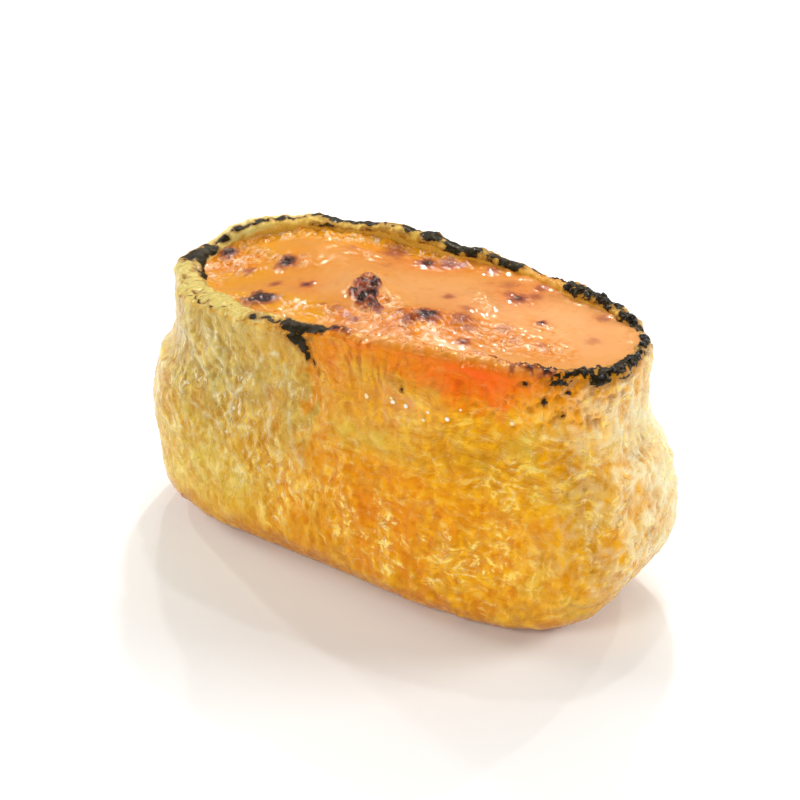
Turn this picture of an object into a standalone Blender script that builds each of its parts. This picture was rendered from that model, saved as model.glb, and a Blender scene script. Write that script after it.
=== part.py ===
"""Inari sushi: an open pouch of fried tofu skin, filled to just under its rim with a seared, creamy filling.

Run with: blender --background --python part.py
Metres, +Z up. The origin is the middle of the flat base. +X runs along the pouch, and -Y is its long front side.
Directions are angles about Z: 0 is +X, 90 the back, 180 -X and 270 the front.
"""

import math

import bmesh
import bpy
from mathutils import Vector

# Driving dimensions
LENGTH = 0.071  # end to end, over the low corners of the pouch
WIDTH = 0.0313  # front to back, over the belly
HEIGHT = 0.0369  # base to the mean height of the rim
SKIN = 0.0023  # mean thickness of the tofu skin
CLEARANCE = 0.0003  # between the skin and what it holds

# The pouch's proportions
END_CORNER_PUSH = 0.0034  # how far the tucked corner at the +X end stands out
BASE_INSET = 0.175 * WIDTH  # how far the flat base lies inside the belly's outline
FOOT_HEIGHT = 0.20 * HEIGHT  # where the rounded foot has become the wall
NECK_INSET = (0.0010, 0.0018)  # how far the wall draws in above the belly, at the ends and at the sides
BASE_POWER = 3.7  # squareness of the outline: 2 is an ellipse
RIM_POWER = 2.2
RIM_SHIFT = (0.0026, -0.0008)  # the mouth leans towards +X and the front
RIM_TWIST = math.radians(1.8)  # and is turned a little about Z
RIM_BEVEL = 0.0006

# Lobes pushed out of the wall: direction and spread in degrees, middle and spread in shares of the height, push
LOBES = (
    (2, 24, 0.36, 0.20, END_CORNER_PUSH),  # tucked corner at the +X end
    (345, 18, 0.20, 0.12, 0.0003),  # its foot, at the front
    (182, 24, 0.36, 0.16, 0.0006),  # tucked corner at the -X end
    (178, 26, 0.80, 0.18, -0.0006),  # and the draw above it
    (236, 26, 0.95, 0.30, 0.0021),  # mouth bulging at the front left
    (272, 20, 0.50, 0.30, -0.0010),  # flattened long front
    (325, 22, 1.00, 0.30, 0.0004),  # mouth at the front right
    (84, 30, 0.50, 0.30, 0.0008),  # belly of the back
)
# Soft upright folds round the wall: folds in a turn, depth, direction of a crest in degrees
FOLDS = ((7, 0.00022, 340), (12, 0.00018, 253), (19, 0.00012, 10))
# Waves of the rim: waves in a turn, height, direction of a crest in degrees
RIM_SWELL = ((1, 0.0014, 25), (2, 0.0010, 110), (3, 0.0003, 19))  # the filling's edge follows these
RIM_RIPPLE = ((8, 0.0002, 60), (13, 0.00012, 15))  # and not these
# Thickness of the skin: its share more or less, direction where it is thickest in degrees
SKIN_SWING = (0.28, 195)

# Top of the filling
EDGE_DROP = 0.0012  # its edge under the rim, on average
EDGE_DROP_SWING = (0.0007, 140)  # how much lower it is at that direction, in degrees, and higher opposite
MIDDLE_HEIGHT = 0.0364
# Mounds and hollows on it: x, y, radius, height
MOUNDS = (
    (-0.0020, -0.0015, 0.0021, 0.0019),  # seared lump in the middle
    (0.0090, -0.0040, 0.0055, 0.0009),
    (-0.0170, 0.0020, 0.0060, 0.0006),
    (-0.0120, -0.0100, 0.0030, 0.0008),
    (0.0020, 0.0070, 0.0060, -0.0004),
)

# Mesh density: rings from the middle of the base up to the rim, and points round
SEGMENTS = 72
BASE_RINGS = 2
FOOT_RINGS = 4
WALL_RINGS = 9
RINGS = BASE_RINGS + FOOT_RINGS + WALL_RINGS
TOP_GATHER = 1.3  # above 1, the rings of the filling's top lie closer together towards its middle
NORMAL_STEP = 0.06  # how far apart, in radians and in rings, points are taken to find the way out of the wall

TOFU_COLOUR = (0.83, 0.56, 0.17, 1.0)
SAUCE_COLOUR = (0.90, 0.41, 0.12, 1.0)


def soft_step(value, low, high):
    """0 below low and 1 above high, with a soft ramp between."""
    share = min(1.0, max(0.0, (value - low) / (high - low)))
    return share * share * (3.0 - 2.0 * share)


def bell(distance, spread):
    """1 in the middle of a lobe, falling softly away."""
    return math.exp(-0.5 * (distance / spread) ** 2)


def swing(angle, direction):
    """1 towards a direction in degrees and -1 away from it."""
    return math.cos(angle - math.radians(direction))


def squared_oval(angle, half_length, half_width, power):
    """A point of a squared oval round the origin, and the way out of it there."""
    cosine, sine = math.cos(angle), math.sin(angle)
    point = Vector((
        half_length * math.copysign(abs(cosine) ** (2.0 / power), cosine),
        half_width * math.copysign(abs(sine) ** (2.0 / power), sine),
    ))
    return point, Vector((cosine / half_length, sine / half_width)).normalized()


def wave(angle, waves):
    """Sum of waves round the pouch, each given as waves in a turn, height, and direction of a crest in degrees."""
    return sum(rise * math.cos(count * (angle - math.radians(crest))) for count, rise, crest in waves)


def rim_height(angle):
    return HEIGHT + wave(angle, RIM_SWELL + RIM_RIPPLE)


def filling_level(angle):
    """Height of the filling's edge, under the rim."""
    return HEIGHT + wave(angle, RIM_SWELL) - EDGE_DROP - EDGE_DROP_SWING[0] * swing(angle, EDGE_DROP_SWING[1])


def skin_depth(angle):
    return SKIN * (1.0 + SKIN_SWING[0] * swing(angle, SKIN_SWING[1]))


def wall_push(angle, up):
    """How far lobes and folds move the wall outwards, at a direction and a share of the height."""
    push = wave(angle, FOLDS)
    for direction, spread, middle, tall, size in LOBES:
        turned = math.acos(max(-1.0, min(1.0, swing(angle, direction))))
        push += size * bell(turned, math.radians(spread)) * bell(up - middle, tall)
    return push * soft_step(up, 0.0, FOOT_HEIGHT / HEIGHT)


def profile(ring):
    """Inset from the belly's outline, share of the way out from the middle, and height, at a ring of the pouch."""
    if ring <= BASE_RINGS:
        return BASE_INSET, ring / BASE_RINGS, 0.0
    if ring <= BASE_RINGS + FOOT_RINGS:
        bend = 0.5 * math.pi * (ring - BASE_RINGS) / FOOT_RINGS
        return BASE_INSET * (1.0 - math.sin(bend)), 1.0, FOOT_HEIGHT * (1.0 - math.cos(bend))
    climb = (ring - BASE_RINGS - FOOT_RINGS) / WALL_RINGS
    return 0.0, 1.0, FOOT_HEIGHT + climb * (HEIGHT - FOOT_HEIGHT)


def outer_point(angle, ring):
    """A point of the pouch's outside. Rings count up from the middle of the base, and may be fractions."""
    inset, spread, height = profile(ring)
    up = height / HEIGHT
    neck = soft_step(up, 0.40, 0.85)
    point, outwards = squared_oval(
        angle,
        0.5 * (LENGTH - END_CORNER_PUSH) - inset - NECK_INSET[0] * neck,
        0.5 * WIDTH - inset - NECK_INSET[1] * neck,
        BASE_POWER + (RIM_POWER - BASE_POWER) * up,
    )
    plan = spread * point + wall_push(angle, up) * outwards
    turn = RIM_TWIST * up
    return Vector((
        plan.x * math.cos(turn) - plan.y * math.sin(turn) + RIM_SHIFT[0] * up,
        plan.x * math.sin(turn) + plan.y * math.cos(turn) + RIM_SHIFT[1] * up,
        up * rim_height(angle),
    ))


def filling_side(angle, ring):
    """A point of the filling's side or underside: the pouch's outside, moved in by the skin and the clearance."""
    if ring <= 0.0:
        return Vector((0.0, 0.0, skin_depth(angle) + CLEARANCE))
    round_it = outer_point(angle + NORMAL_STEP, ring) - outer_point(angle - NORMAL_STEP, ring)
    up_it = outer_point(angle, min(RINGS, ring + NORMAL_STEP)) - outer_point(angle, ring - NORMAL_STEP)
    outwards = round_it.cross(up_it).normalized()
    return outer_point(angle, ring) - (skin_depth(angle) + CLEARANCE) * outwards


def edge_ring(angle):
    """The ring of the wall, a fraction, at the height of the filling's edge."""
    up = filling_level(angle) / rim_height(angle)
    return RINGS - WALL_RINGS * HEIGHT * (1.0 - up) / (HEIGHT - FOOT_HEIGHT)


def filling_top(angle, inwards):
    """A point of the filling's top, for a share 0 at its edge to 1 in the middle, on the seared lump."""
    inwards = 1.0 - (1.0 - inwards) ** TOP_GATHER
    edge = filling_side(angle, edge_ring(angle))
    middle = Vector((MOUNDS[0][0], MOUNDS[0][1], MIDDLE_HEIGHT))
    point = edge.lerp(middle, inwards)
    level = filling_level(angle)
    point.z = level + (middle.z - level) * soft_step(inwards, 0.0, 1.0)
    for x, y, radius, height in MOUNDS:
        point.z += height * bell(math.hypot(point.x - x, point.y - y), radius) * soft_step(inwards, 0.0, 0.15)
    return point


def add_material(obj, colour, roughness):
    material = bpy.data.materials.new(obj.name)
    material.use_nodes = True
    shader = material.node_tree.nodes["Principled BSDF"]
    shader.inputs["Base Color"].default_value = colour
    shader.inputs["Roughness"].default_value = roughness
    shader.inputs["Metallic"].default_value = 0.0
    obj.data.materials.append(material)


def add_sphere(name, collection, keep_top):
    """A UV sphere with one ring of points for each ring of the pouch, below its equator and above it."""
    form = bmesh.new()
    bmesh.ops.create_uvsphere(form, u_segments=SEGMENTS, v_segments=2 * RINGS, radius=1.0)
    if not keep_top:
        upper = [vertex for vertex in form.verts if vertex.co.z > 0.01]
        bmesh.ops.delete(form, geom=upper, context="VERTS")
    mesh = bpy.data.meshes.new(name)
    form.to_mesh(mesh)
    form.free()
    obj = bpy.data.objects.new(name, mesh)
    collection.objects.link(obj)
    return obj


def place_on_sphere(vertex):
    """Angle about Z of a point of the unit sphere, and its ring from the bottom: RINGS is the equator."""
    latitude = math.asin(max(-1.0, min(1.0, vertex.co.z)))
    return math.atan2(vertex.co.y, vertex.co.x), RINGS * (1.0 + latitude / (0.5 * math.pi))


def make_pouch(collection):
    """The tofu skin: the lower half of a sphere shaped as the pouch's outside and thickened inwards."""
    pouch = add_sphere("pouch", collection, keep_top=False)
    thickness = pouch.vertex_groups.new(name="thickness")
    thickest = SKIN * (1.0 + SKIN_SWING[0])
    for vertex in pouch.data.vertices:
        angle, ring = place_on_sphere(vertex)
        vertex.co = outer_point(angle, min(RINGS, ring))
        thickness.add([vertex.index], skin_depth(angle) / thickest, "REPLACE")
    skin = pouch.modifiers.new("skin", "SOLIDIFY")
    skin.thickness = thickest
    skin.vertex_group = thickness.name
    skin.offset = -1.0
    rim = pouch.modifiers.new("rim", "BEVEL")
    rim.width = RIM_BEVEL
    rim.segments = 2
    rim.limit_method = "ANGLE"
    rim.angle_limit = math.radians(50)
    add_material(pouch, TOFU_COLOUR, 0.45)
    pouch.data.shade_smooth()


def make_filling(collection):
    """What the pouch holds: a sphere whose lower half lines the skin and whose upper half is the seared top."""
    filling = add_sphere("filling", collection, keep_top=True)
    for vertex in filling.data.vertices:
        angle, ring = place_on_sphere(vertex)
        if ring > RINGS - 0.01:
            vertex.co = filling_top(angle, max(0.0, ring / RINGS - 1.0))
        else:
            vertex.co = filling_side(angle, edge_ring(angle) * ring / RINGS)
    add_material(filling, SAUCE_COLOUR, 0.25)
    filling.data.shade_smooth()


def main():
    for obj in list(bpy.data.objects):
        bpy.data.objects.remove(obj)
    collection = bpy.data.collections.new("inari_sushi")
    bpy.context.scene.collection.children.link(collection)
    make_pouch(collection)
    make_filling(collection)


main()
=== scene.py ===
import math

import bmesh
import bpy
import numpy as np
from mathutils import Matrix, Vector, noise
from mathutils.bvhtree import BVHTree


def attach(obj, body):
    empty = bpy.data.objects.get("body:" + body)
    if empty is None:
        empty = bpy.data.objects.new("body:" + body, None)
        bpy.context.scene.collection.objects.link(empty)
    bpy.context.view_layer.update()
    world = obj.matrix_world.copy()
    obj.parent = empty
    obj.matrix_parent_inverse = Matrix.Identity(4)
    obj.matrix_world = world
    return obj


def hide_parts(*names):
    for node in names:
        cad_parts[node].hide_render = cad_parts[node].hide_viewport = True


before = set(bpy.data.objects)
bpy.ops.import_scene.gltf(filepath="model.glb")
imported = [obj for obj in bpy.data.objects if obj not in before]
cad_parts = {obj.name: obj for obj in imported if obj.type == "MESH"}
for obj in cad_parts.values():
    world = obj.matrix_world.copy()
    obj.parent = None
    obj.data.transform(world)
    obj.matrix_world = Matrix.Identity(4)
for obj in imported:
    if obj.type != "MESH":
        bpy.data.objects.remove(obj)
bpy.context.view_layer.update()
mm = 0.001  # shapes are worked out in millimetres and made in metres


# Small helpers

def softStep(low, high, value):
    t = np.clip((value - low) / (high - low), 0.0, 1.0)
    return t * t * (3.0 - 2.0 * t)


def hump(value, middle, spread):
    return np.exp(-(((value - middle) / spread) ** 2))


def bumps(points, size, seed, stretch=(1.0, 1.0, 1.0), octaves=1):
    # smooth noise, about -1 to 1, with bumps about size millimetres apart
    scaled = points / (np.array(stretch) * size) + 19.7 * seed
    flat = scaled.reshape(-1, 3).tolist()
    if octaves == 1:
        values = [noise.noise(p) for p in flat]
    else:
        values = [noise.fractal(p, 0.9, 2.1, octaves) for p in flat]
    return np.array(values).reshape(points.shape[:-1])


def creases(points, size, seed, stretch=(1.0, 1.0, 1.0)):
    # 1 along the borders of crumpled cells, falling to 0 inside them
    scaled = points / (np.array(stretch) * size) + 23.1 * seed
    values = []
    for p in scaled.reshape(-1, 3).tolist():
        near = noise.voronoi(p)[0]
        values.append(near[1] - near[0])
    return 1.0 - np.clip(np.array(values).reshape(points.shape[:-1]) / 0.5, 0.0, 1.0)


def ridges(points, size, seed, stretch=(1.0, 1.0, 1.0), octaves=3):
    # crumpled folds: sharp crests near 1, wide hollows near 0
    total, weight, value = 0.0, 1.0, 0.0
    for octave in range(octaves):
        layer = bumps(points, size / 2.0 ** octave, seed + 0.37 * octave, stretch)
        value = value + weight * (1.0 - np.clip(np.abs(layer) * 2.6, 0.0, 1.0)) ** 1.4
        total += weight
        weight *= 0.55
    return value / total


def blur(grid, rowPasses, columnPasses):
    # columns go round the outline, rows end at the edges
    out = grid.copy()
    for _ in range(columnPasses):
        out = 0.5 * out + 0.25 * (np.roll(out, 1, 1) + np.roll(out, -1, 1))
    for _ in range(rowPasses):
        above = np.concatenate([out[1:], out[-1:]])
        below = np.concatenate([out[:1], out[:-1]])
        out = 0.5 * out + 0.25 * (above + below)
    return out


def linear(colour):
    c = np.array(colour, float) / 255.0
    return np.where(c <= 0.04045, c / 12.92, ((c + 0.055) / 1.055) ** 2.4)


def mixIn(tint, colour, amount):
    # tint is (..., 3) in linear light, amount the same shape without the colours
    a = np.clip(amount, 0.0, 1.0)[..., None]
    return tint * (1.0 - a) + linear(colour) * a


# The outline that all columns of the skin and the sauce follow: from the end with the
# tucked corner, over the back, round the far end, and back along the front.
outline = {
    "columns": 600,
    "spineHalf": 18.0,
    "cornerRadius": 15.0,
}


def makeOutline():
    quarter = 0.5 * math.pi * outline["cornerRadius"]
    straight = 2.0 * outline["spineHalf"]
    stops = np.cumsum([0.0, quarter, straight, 2.0 * quarter, straight, quarter])
    along = np.arange(outline["columns"]) * stops[-1] / outline["columns"]
    turn = np.radians(np.interp(along, stops, [0, 90, 90, 270, 270, 360]))
    half = outline["spineHalf"]
    startX = np.interp(along, stops, [half, half, -half, -half, half, half])
    start = np.stack([startX, np.zeros_like(startX)], -1)
    outward = np.stack([np.cos(turn), np.sin(turn)], -1)
    return along, start, outward, stops[-1]


along, spine, outward, girth = makeOutline()


def nodeTree(name):
    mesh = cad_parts[name].data
    corners = [v.co / mm for v in mesh.vertices]
    return BVHTree.FromPolygons(corners, [tuple(p.vertices) for p in mesh.polygons])


skinTree = nodeTree("pouch")
fillTree = nodeTree("filling")


def reachAt(tree, column, height, inner=False):
    # distance of the wall from the middle line, at a height, from outside or from inside
    sx, sy = spine[column]
    dx, dy = outward[column]
    if inner:
        hit = tree.ray_cast(Vector((sx, sy, height)), Vector((dx, dy, 0.0)))[0]
    else:
        far = 40.0
        hit = tree.ray_cast(Vector((sx + dx * far, sy + dy * far, height)), Vector((-dx, -dy, 0.0)))[0]
    if hit is None:
        return math.nan
    return (hit.x - sx) * dx + (hit.y - sy) * dy


def topAt(tree, column, reach):
    x, y = spine[column] + outward[column] * reach
    hit = tree.ray_cast(Vector((x, y, 80.0)), Vector((0.0, 0.0, -1.0)))[0]
    return math.nan if hit is None else hit.z


def place(reach, height):
    flat = spine + outward * np.asarray(reach)[..., None]
    return np.concatenate([flat, (np.zeros(len(along)) + height)[..., None]], -1)


def gridNormals(grid):
    across = np.roll(grid, -1, 1) - np.roll(grid, 1, 1)
    up = np.gradient(grid, axis=0)
    normal = np.cross(across, up)
    return normal / (np.linalg.norm(normal, axis=-1, keepdims=True) + 1e-9)


def paintMesh(mesh, colours, masks):
    count = len(mesh.vertices)
    tints = mesh.attributes.new("tint", "FLOAT_COLOR", "POINT")
    flat = np.concatenate([np.clip(colours.reshape(-1, 3), 0.0, 1.0), np.ones((count, 1))], -1)
    tints.data.foreach_set("color", flat.astype(np.float32).ravel())
    for key, values in masks.items():
        layer = mesh.attributes.new(key, "FLOAT", "POINT")
        layer.data.foreach_set("value", np.clip(values, 0.0, 1.0).astype(np.float32).ravel())
    mesh.polygons.foreach_set("use_smooth", [True] * len(mesh.polygons))
    mesh.update()


def gridMesh(name, grid, colours, masks):
    # rows of columns that close round the outline; first and last rows meet on the spine
    rows, columns = grid.shape[:2]
    r, c = np.meshgrid(np.arange(rows - 1), np.arange(columns), indexing="ij")
    nextC = (c + 1) % columns
    faces = np.stack([r * columns + c, r * columns + nextC, (r + 1) * columns + nextC, (r + 1) * columns + c], -1)
    mesh = bpy.data.meshes.new(name)
    mesh.from_pydata((grid.reshape(-1, 3) * mm).tolist(), [], faces.reshape(-1, 4).tolist())
    paintMesh(mesh, colours, masks)
    work = bmesh.new()
    work.from_mesh(mesh)
    bmesh.ops.remove_doubles(work, verts=work.verts, dist=0.000002)
    work.to_mesh(mesh)
    work.free()
    return mesh


def addObject(name, mesh):
    piece = bpy.data.objects.new(name, mesh)
    bpy.context.scene.collection.objects.link(piece)
    return piece


print("pouch: reading the wall from the packed solids")

pouch = {
    "footRows": 16,
    "wallRows": 90,
    "rimRows": 15,
    "innerRows": 14,
    "footHeight": 7.4,
    "shoulder": 0.95,      # height of the rounded lip
    "innerDepth": 4.6,     # how far down the inside is made
    # thicker stretches of the lip: along, spread, how much
    "thickLip": [(101.0, 13.0, 1.3), (72.0, 14.0, 0.4)],
    "bigWaves": 0.40,
    "crumple": 0.62,
    "sponge": 0.07,
    "lipRagged": 0.22,
    # dips of the lip: along, spread, depth
    "lipDips": [
        (26.6, 4.5, 0.9),
        (40.0, 2.0, 0.5),
        (45.5, 1.6, 0.5),
        (5.0, 2.6, 0.9),
        (112.0, 4.0, 0.3),
        (121.5, 3.4, 0.5),
    ],
    # overlapping edges of the skin: points as along, height, then how far the left or upper side stands out
    "upperEdge": [(123.4, 37.5), (123.6, 33.0), (122.2, 29.0), (123.0, 24.0), (121.5, 19.0), (122.5, 15.0)],
    "upperEdgeLift": 0.55,
    "flapEdge": [(124.0, 25.0), (128.0, 23.6), (133.0, 23.2), (138.0, 24.4), (144.0, 26.2), (150.0, 26.8)],
    "flapLift": 0.22,
    "cornerCrease": [(157.0, 27.0), (158.6, 23.0), (158.2, 18.0), (159.4, 13.5), (160.0, 9.0)],
    "cornerCreaseDepth": 0.30,
    # hips, where the bag steps out below the lip: along, spread, height, how far
    "hips": [(95.0, 8.0, 23.5, 1.1), (0.0, 9.0, 23.6, 1.2), (60.0, 10.0, 25.0, 0.5)],
    # long thin crests of the skin, each a run of points as along, height
    "crestLines": [
        [(97.0, 37.0), (99.0, 32.5), (101.5, 28.0), (102.0, 24.0), (104.0, 20.0)],
        [(99.5, 36.0), (101.0, 33.0), (103.6, 29.0), (104.4, 25.0)],
        [(101.5, 36.5), (104.5, 31.0), (106.0, 27.0), (109.0, 22.5)],
        [(107.0, 33.5), (108.0, 30.0), (111.0, 25.5), (111.5, 21.0)],
        [(110.6, 27.0), (112.0, 24.0), (114.5, 28.5), (116.5, 31.5), (119.0, 32.5)],
        [(119.0, 32.5), (120.5, 28.0), (120.0, 23.0), (121.5, 17.0)],
        [(116.0, 27.0), (116.8, 22.0), (118.5, 17.0), (118.0, 13.0)],
        [(104.0, 21.0), (108.0, 19.0), (113.0, 20.0)],
        [(110.0, 17.0), (112.0, 13.0), (111.5, 9.0)],
        [(160.0, 31.0), (161.5, 26.0), (161.0, 20.0), (162.5, 14.0), (162.0, 9.0)],
        [(164.5, 35.0), (165.0, 29.0), (164.0, 24.0), (166.0, 17.0)],
        [(157.0, 27.5), (159.5, 23.0), (158.6, 17.5), (160.2, 12.0)],
        [(161.0, 24.0), (164.0, 20.0), (163.0, 15.0)],
        [(162.5, 32.0), (163.0, 27.0), (165.5, 22.0)],
        [(27.0, 33.0), (29.0, 27.0), (28.0, 21.0), (30.0, 15.0)],
        [(52.0, 32.0), (54.5, 26.0), (53.5, 19.0)],
        [(57.0, 27.0), (56.0, 20.0), (58.0, 12.0)],
        [(36.0, 27.5), (41.0, 26.0), (46.0, 27.5)],
    ],
    "crestLift": 0.16,
    # single pits: along, height, radius, depth
    "pits": [
        (136.0, 33.1, 0.75, 0.5),
        (154.8, 33.9, 0.5, 0.35),
        (157.4, 35.2, 0.45, 0.3),
        (141.0, 5.4, 0.7, 0.25),
    ],
    # a patch of many small pits: along, height, spreads, how many
    "pitPatch": (156.5, 33.7, 6.0, 1.9, 70),
    "pitSeed": 12,
}

skinColours = {
    "golden": (226, 156, 6),
    "straw": (208, 182, 66),
    "khaki": (174, 154, 80),
    "crest": (244, 202, 60),
    "cream": (250, 232, 168),
    "orange": (226, 144, 0),
    "deepOrange": (222, 130, 0),
    "amberShade": (196, 130, 10),
    "lipOrange": (224, 118, 0),
    "redOrange": (238, 88, 0),
    "peach": (206, 142, 50),
    "brown": (160, 86, 6),
    "pitBrown": (146, 78, 6),
    "bottomShadeBrown": (184, 106, 0),
    "lipOlive": (220, 194, 104),
    "paleSkinAndHighlight": (242, 232, 190),
    "bubbleBrown": (255, 168, 8),
    "innerLip": (198, 142, 34),
    "strand": (168, 78, 0),
    "mottle": (246, 181, 18),
    "paleOlive": (232, 218, 138),
    "rimOlive": (204, 186, 108),
    "rosy": (226, 158, 106),
}

# Broad colour patches on the outside: along, height, spreads, colour, strength
skinPatches = [
    # painted highlight: the near-white patches at the two ends (along 90, and along 163 to 174) are cream skin made
    # whiter where the ends glare
    (90.0, 20.0, 7.5, 30.0, "paleSkinAndHighlight", 0.9),
    (107.0, 28.0, 15.0, 9.5, "khaki", 0.85),
    (105.0, 11.0, 13.0, 7.0, "straw", 0.8),
    (114.0, 5.0, 9.0, 4.0, "golden", 0.6),
    (164.0, 20.0, 6.0, 13.0, "golden", 0.5),
    # painted highlight: more near-white on the right end, as above
    (168.5, 26.0, 6.5, 10.0, "paleSkinAndHighlight", 0.35),
    (174.0, 22.0, 7.0, 30.0, "paleSkinAndHighlight", 0.9),
    (163.5, 29.5, 5.0, 2.6, "paleSkinAndHighlight", 0.6),
    (131.0, 13.0, 12.0, 10.0, "orange", 0.9),
    (137.6, 13.0, 2.4, 10.0, "deepOrange", 0.9),
    (131.2, 12.0, 1.8, 9.0, "deepOrange", 0.8),
    (119.6, 11.0, 1.8, 5.0, "orange", 0.8),
    (147.0, 14.0, 10.0, 9.0, "orange", 0.55),
    (148.0, 18.0, 8.0, 2.2, "deepOrange", 0.6),
    (132.0, 27.5, 10.0, 3.4, "peach", 0.85),
    (130.0, 24.0, 7.0, 1.6, "straw", 0.75),
    (136.4, 30.6, 4.6, 2.0, "rosy", 0.6),
    (146.0, 26.0, 8.0, 3.0, "amberShade", 0.5),
    (140.0, 36.5, 19.0, 2.4, "lipOrange", 0.95),
    (127.0, 34.0, 3.5, 4.0, "lipOrange", 0.85),
    (146.5, 34.4, 7.5, 2.4, "redOrange", 0.92),
    (156.5, 34.0, 7.0, 3.0, "bubbleBrown", 0.95),
    (30.0, 14.0, 16.0, 9.0, "orange", 0.6),
    (42.0, 29.0, 18.0, 9.0, "khaki", 0.6),
    (70.0, 25.0, 10.0, 12.0, "straw", 0.7),
    # painted highlight: a near-white strip on the outer edge of the lip at the far back end, where it glares
    (72.0, 37.0, 11.0, 3.0, "paleSkinAndHighlight", 0.8),
]

# Burnt stretches of the lip: from, to, where across it (1 outer side, 1.5 top, 2 inner side), spread, strength
charOnLip = [
    (61.0, 80.0, 1.58, 0.11, 0.90),
    (80.0, 85.0, 1.55, 0.18, 0.85),
    (45.0, 61.0, 1.42, 0.28, 0.90),
    (29.5, 45.0, 1.55, 0.46, 0.92),
    (22.0, 30.5, 1.35, 0.16, 0.80),
    (3.0, 23.0, 1.55, 0.46, 0.95),
    (-10.0, 4.0, 1.50, 0.62, 0.86),
    (155.0, 167.0, 1.30, 0.50, 0.90),
    (150.5, 161.0, 1.60, 0.50, 0.85),
    (30.0, 45.0, 1.95, 0.22, 0.66),
    (3.0, 21.0, 1.95, 0.24, 0.68),
    (46.0, 60.0, 1.85, 0.16, 0.60),
    (145.0, 151.0, 1.80, 0.22, 0.70),
    (125.0, 136.0, 1.95, 0.14, 0.66),
    (119.0, 125.6, 1.30, 0.38, 1.10),
    (125.0, 129.0, 1.50, 0.14, 0.90),
    (114.0, 119.5, 1.40, 0.14, 0.85),
    (83.5, 91.0, 1.60, 0.42, 1.00),
    (88.5, 97.5, 1.95, 0.40, 1.05),
]
# The burnt drip on the outside of the front, and specks: along, height, spreads, strength
charOnWall = [
    (121.4, 36.6, 2.2, 0.9, 1.1), (122.0, 35.6, 1.5, 1.0, 1.1), (122.9, 34.6, 0.8, 1.0, 1.1), (123.4, 33.5, 0.45, 0.9, 0.95), (123.9, 32.4, 0.28, 0.8, 0.85),
    (136.3, 32.2, 0.42, 0.42, 0.8), (156.9, 32.2, 0.32, 0.22, 0.8), (160.2, 31.7, 0.4, 0.26, 0.5),
    (163.0, 34.3, 0.34, 0.34, 0.55), (159.6, 35.2, 0.34, 0.3, 0.6), (155.6, 31.6, 0.34, 0.26, 0.5),
    (124.4, 31.0, 0.3, 0.7, 0.6), (154.8, 33.9, 0.36, 0.45, 0.95), (157.4, 35.2, 0.34, 0.34, 0.9), (158.6, 34.2, 0.3, 0.2, 0.6),
    (165.0, 36.8, 1.2, 0.5, 0.65), (156.5, 36.6, 2.4, 1.0, 0.68), (160.5, 36.6, 2.2, 1.0, 0.72), (163.5, 36.7, 1.8, 0.9, 0.7), (152.4, 36.4, 1.0, 0.7, 0.65),
]


def burntLip(grid, alongGrid, side, below):
    # how far through the lip is burnt, thin and ragged along its edge
    uneven = bumps(grid, 1.7, 55, octaves=2)
    across = side + 0.12 * bumps(grid, 1.2, 56) - 0.5 * softStep(0.4, 2.4, below) * (side < 1.2)
    burn = np.zeros(side.shape)
    for first, last, middle, spread, strength in charOnLip:
        half = 0.5 * (last - first)
        offset = np.abs((alongGrid - first - half + 0.5 * girth) % girth - 0.5 * girth)
        inRun = 1.0 - softStep(half - 0.8, half + 0.6, offset + 0.8 * uneven)
        burn = np.maximum(burn, strength * inRun * hump(across, middle, spread * (1.0 + 0.5 * uneven)))
    holes = softStep(0.25, 0.75, bumps(grid, 0.9, 58, octaves=2))
    lace = hump(alongGrid, 156.0, 9.0)
    threads = softStep(0.25, 0.75, creases(grid, 0.95, 59))
    burn = burn * (1.0 - lace + lace * (0.62 + 0.62 * threads))
    return burn * (0.88 + 0.6 * np.clip(uneven, -0.5, 0.3)) * (1.0 - 0.5 * holes) * (side < 3.0)


def wallRows():
    # heights row by row: foot, wall up to the lip, then over the lip and down inside
    columns = range(len(along))
    lip = np.zeros(len(along))
    for c in columns:
        out = reachAt(skinTree, c, 30.0)
        reaches = np.arange(out - 4.5, out + 1.6, 0.3)
        lip[c] = np.nanmax([topAt(skinTree, c, r) for r in reaches])
    lip = blur(lip[None], 0, 24)[0]
    ring = place(np.full(len(along), 14.0), 0.0)
    for where, spread, depth in pouch["lipDips"]:
        lip -= depth * hump(np.abs((along - where + girth / 2) % girth - girth / 2), 0.0, spread)
    lip += pouch["lipRagged"] * (bumps(ring, 3.2, 3) + 0.6 * bumps(ring, 1.1, 5))
    foot = pouch["footHeight"]
    heights = []
    for i in range(pouch["footRows"]):
        heights.append(np.full(len(along), foot * (1.0 - math.cos(0.5 * math.pi * i / pouch["footRows"]))) + 0.02)
    shoulder = lip - pouch["shoulder"]
    for i in range(pouch["wallRows"]):
        t = i / (pouch["wallRows"] - 1)
        heights.append(foot + (shoulder - foot) * t)
    heights = np.array(heights)
    outer = np.zeros_like(heights)
    for r in range(len(heights)):
        for c in columns:
            outer[r, c] = reachAt(skinTree, c, min(heights[r, c], lip[c] - 0.9))
    outer = blur(outer, 14, 22)
    depths = np.linspace(0.0, pouch["innerDepth"], pouch["innerRows"])
    inner = np.zeros((len(depths), len(along)))
    for r, depth in enumerate(depths):
        for c in columns:
            inner[r, c] = reachAt(skinTree, c, shoulder[c] - depth, True)
    inner = blur(inner, 4, 22)
    for where, spread, amount in pouch["thickLip"]:
        inner -= amount * hump(along, where, spread)
    return lip, shoulder, heights, outer, depths, inner


lip, shoulder, outerHeights, outerReach, innerDepths, innerReach = wallRows()


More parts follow.
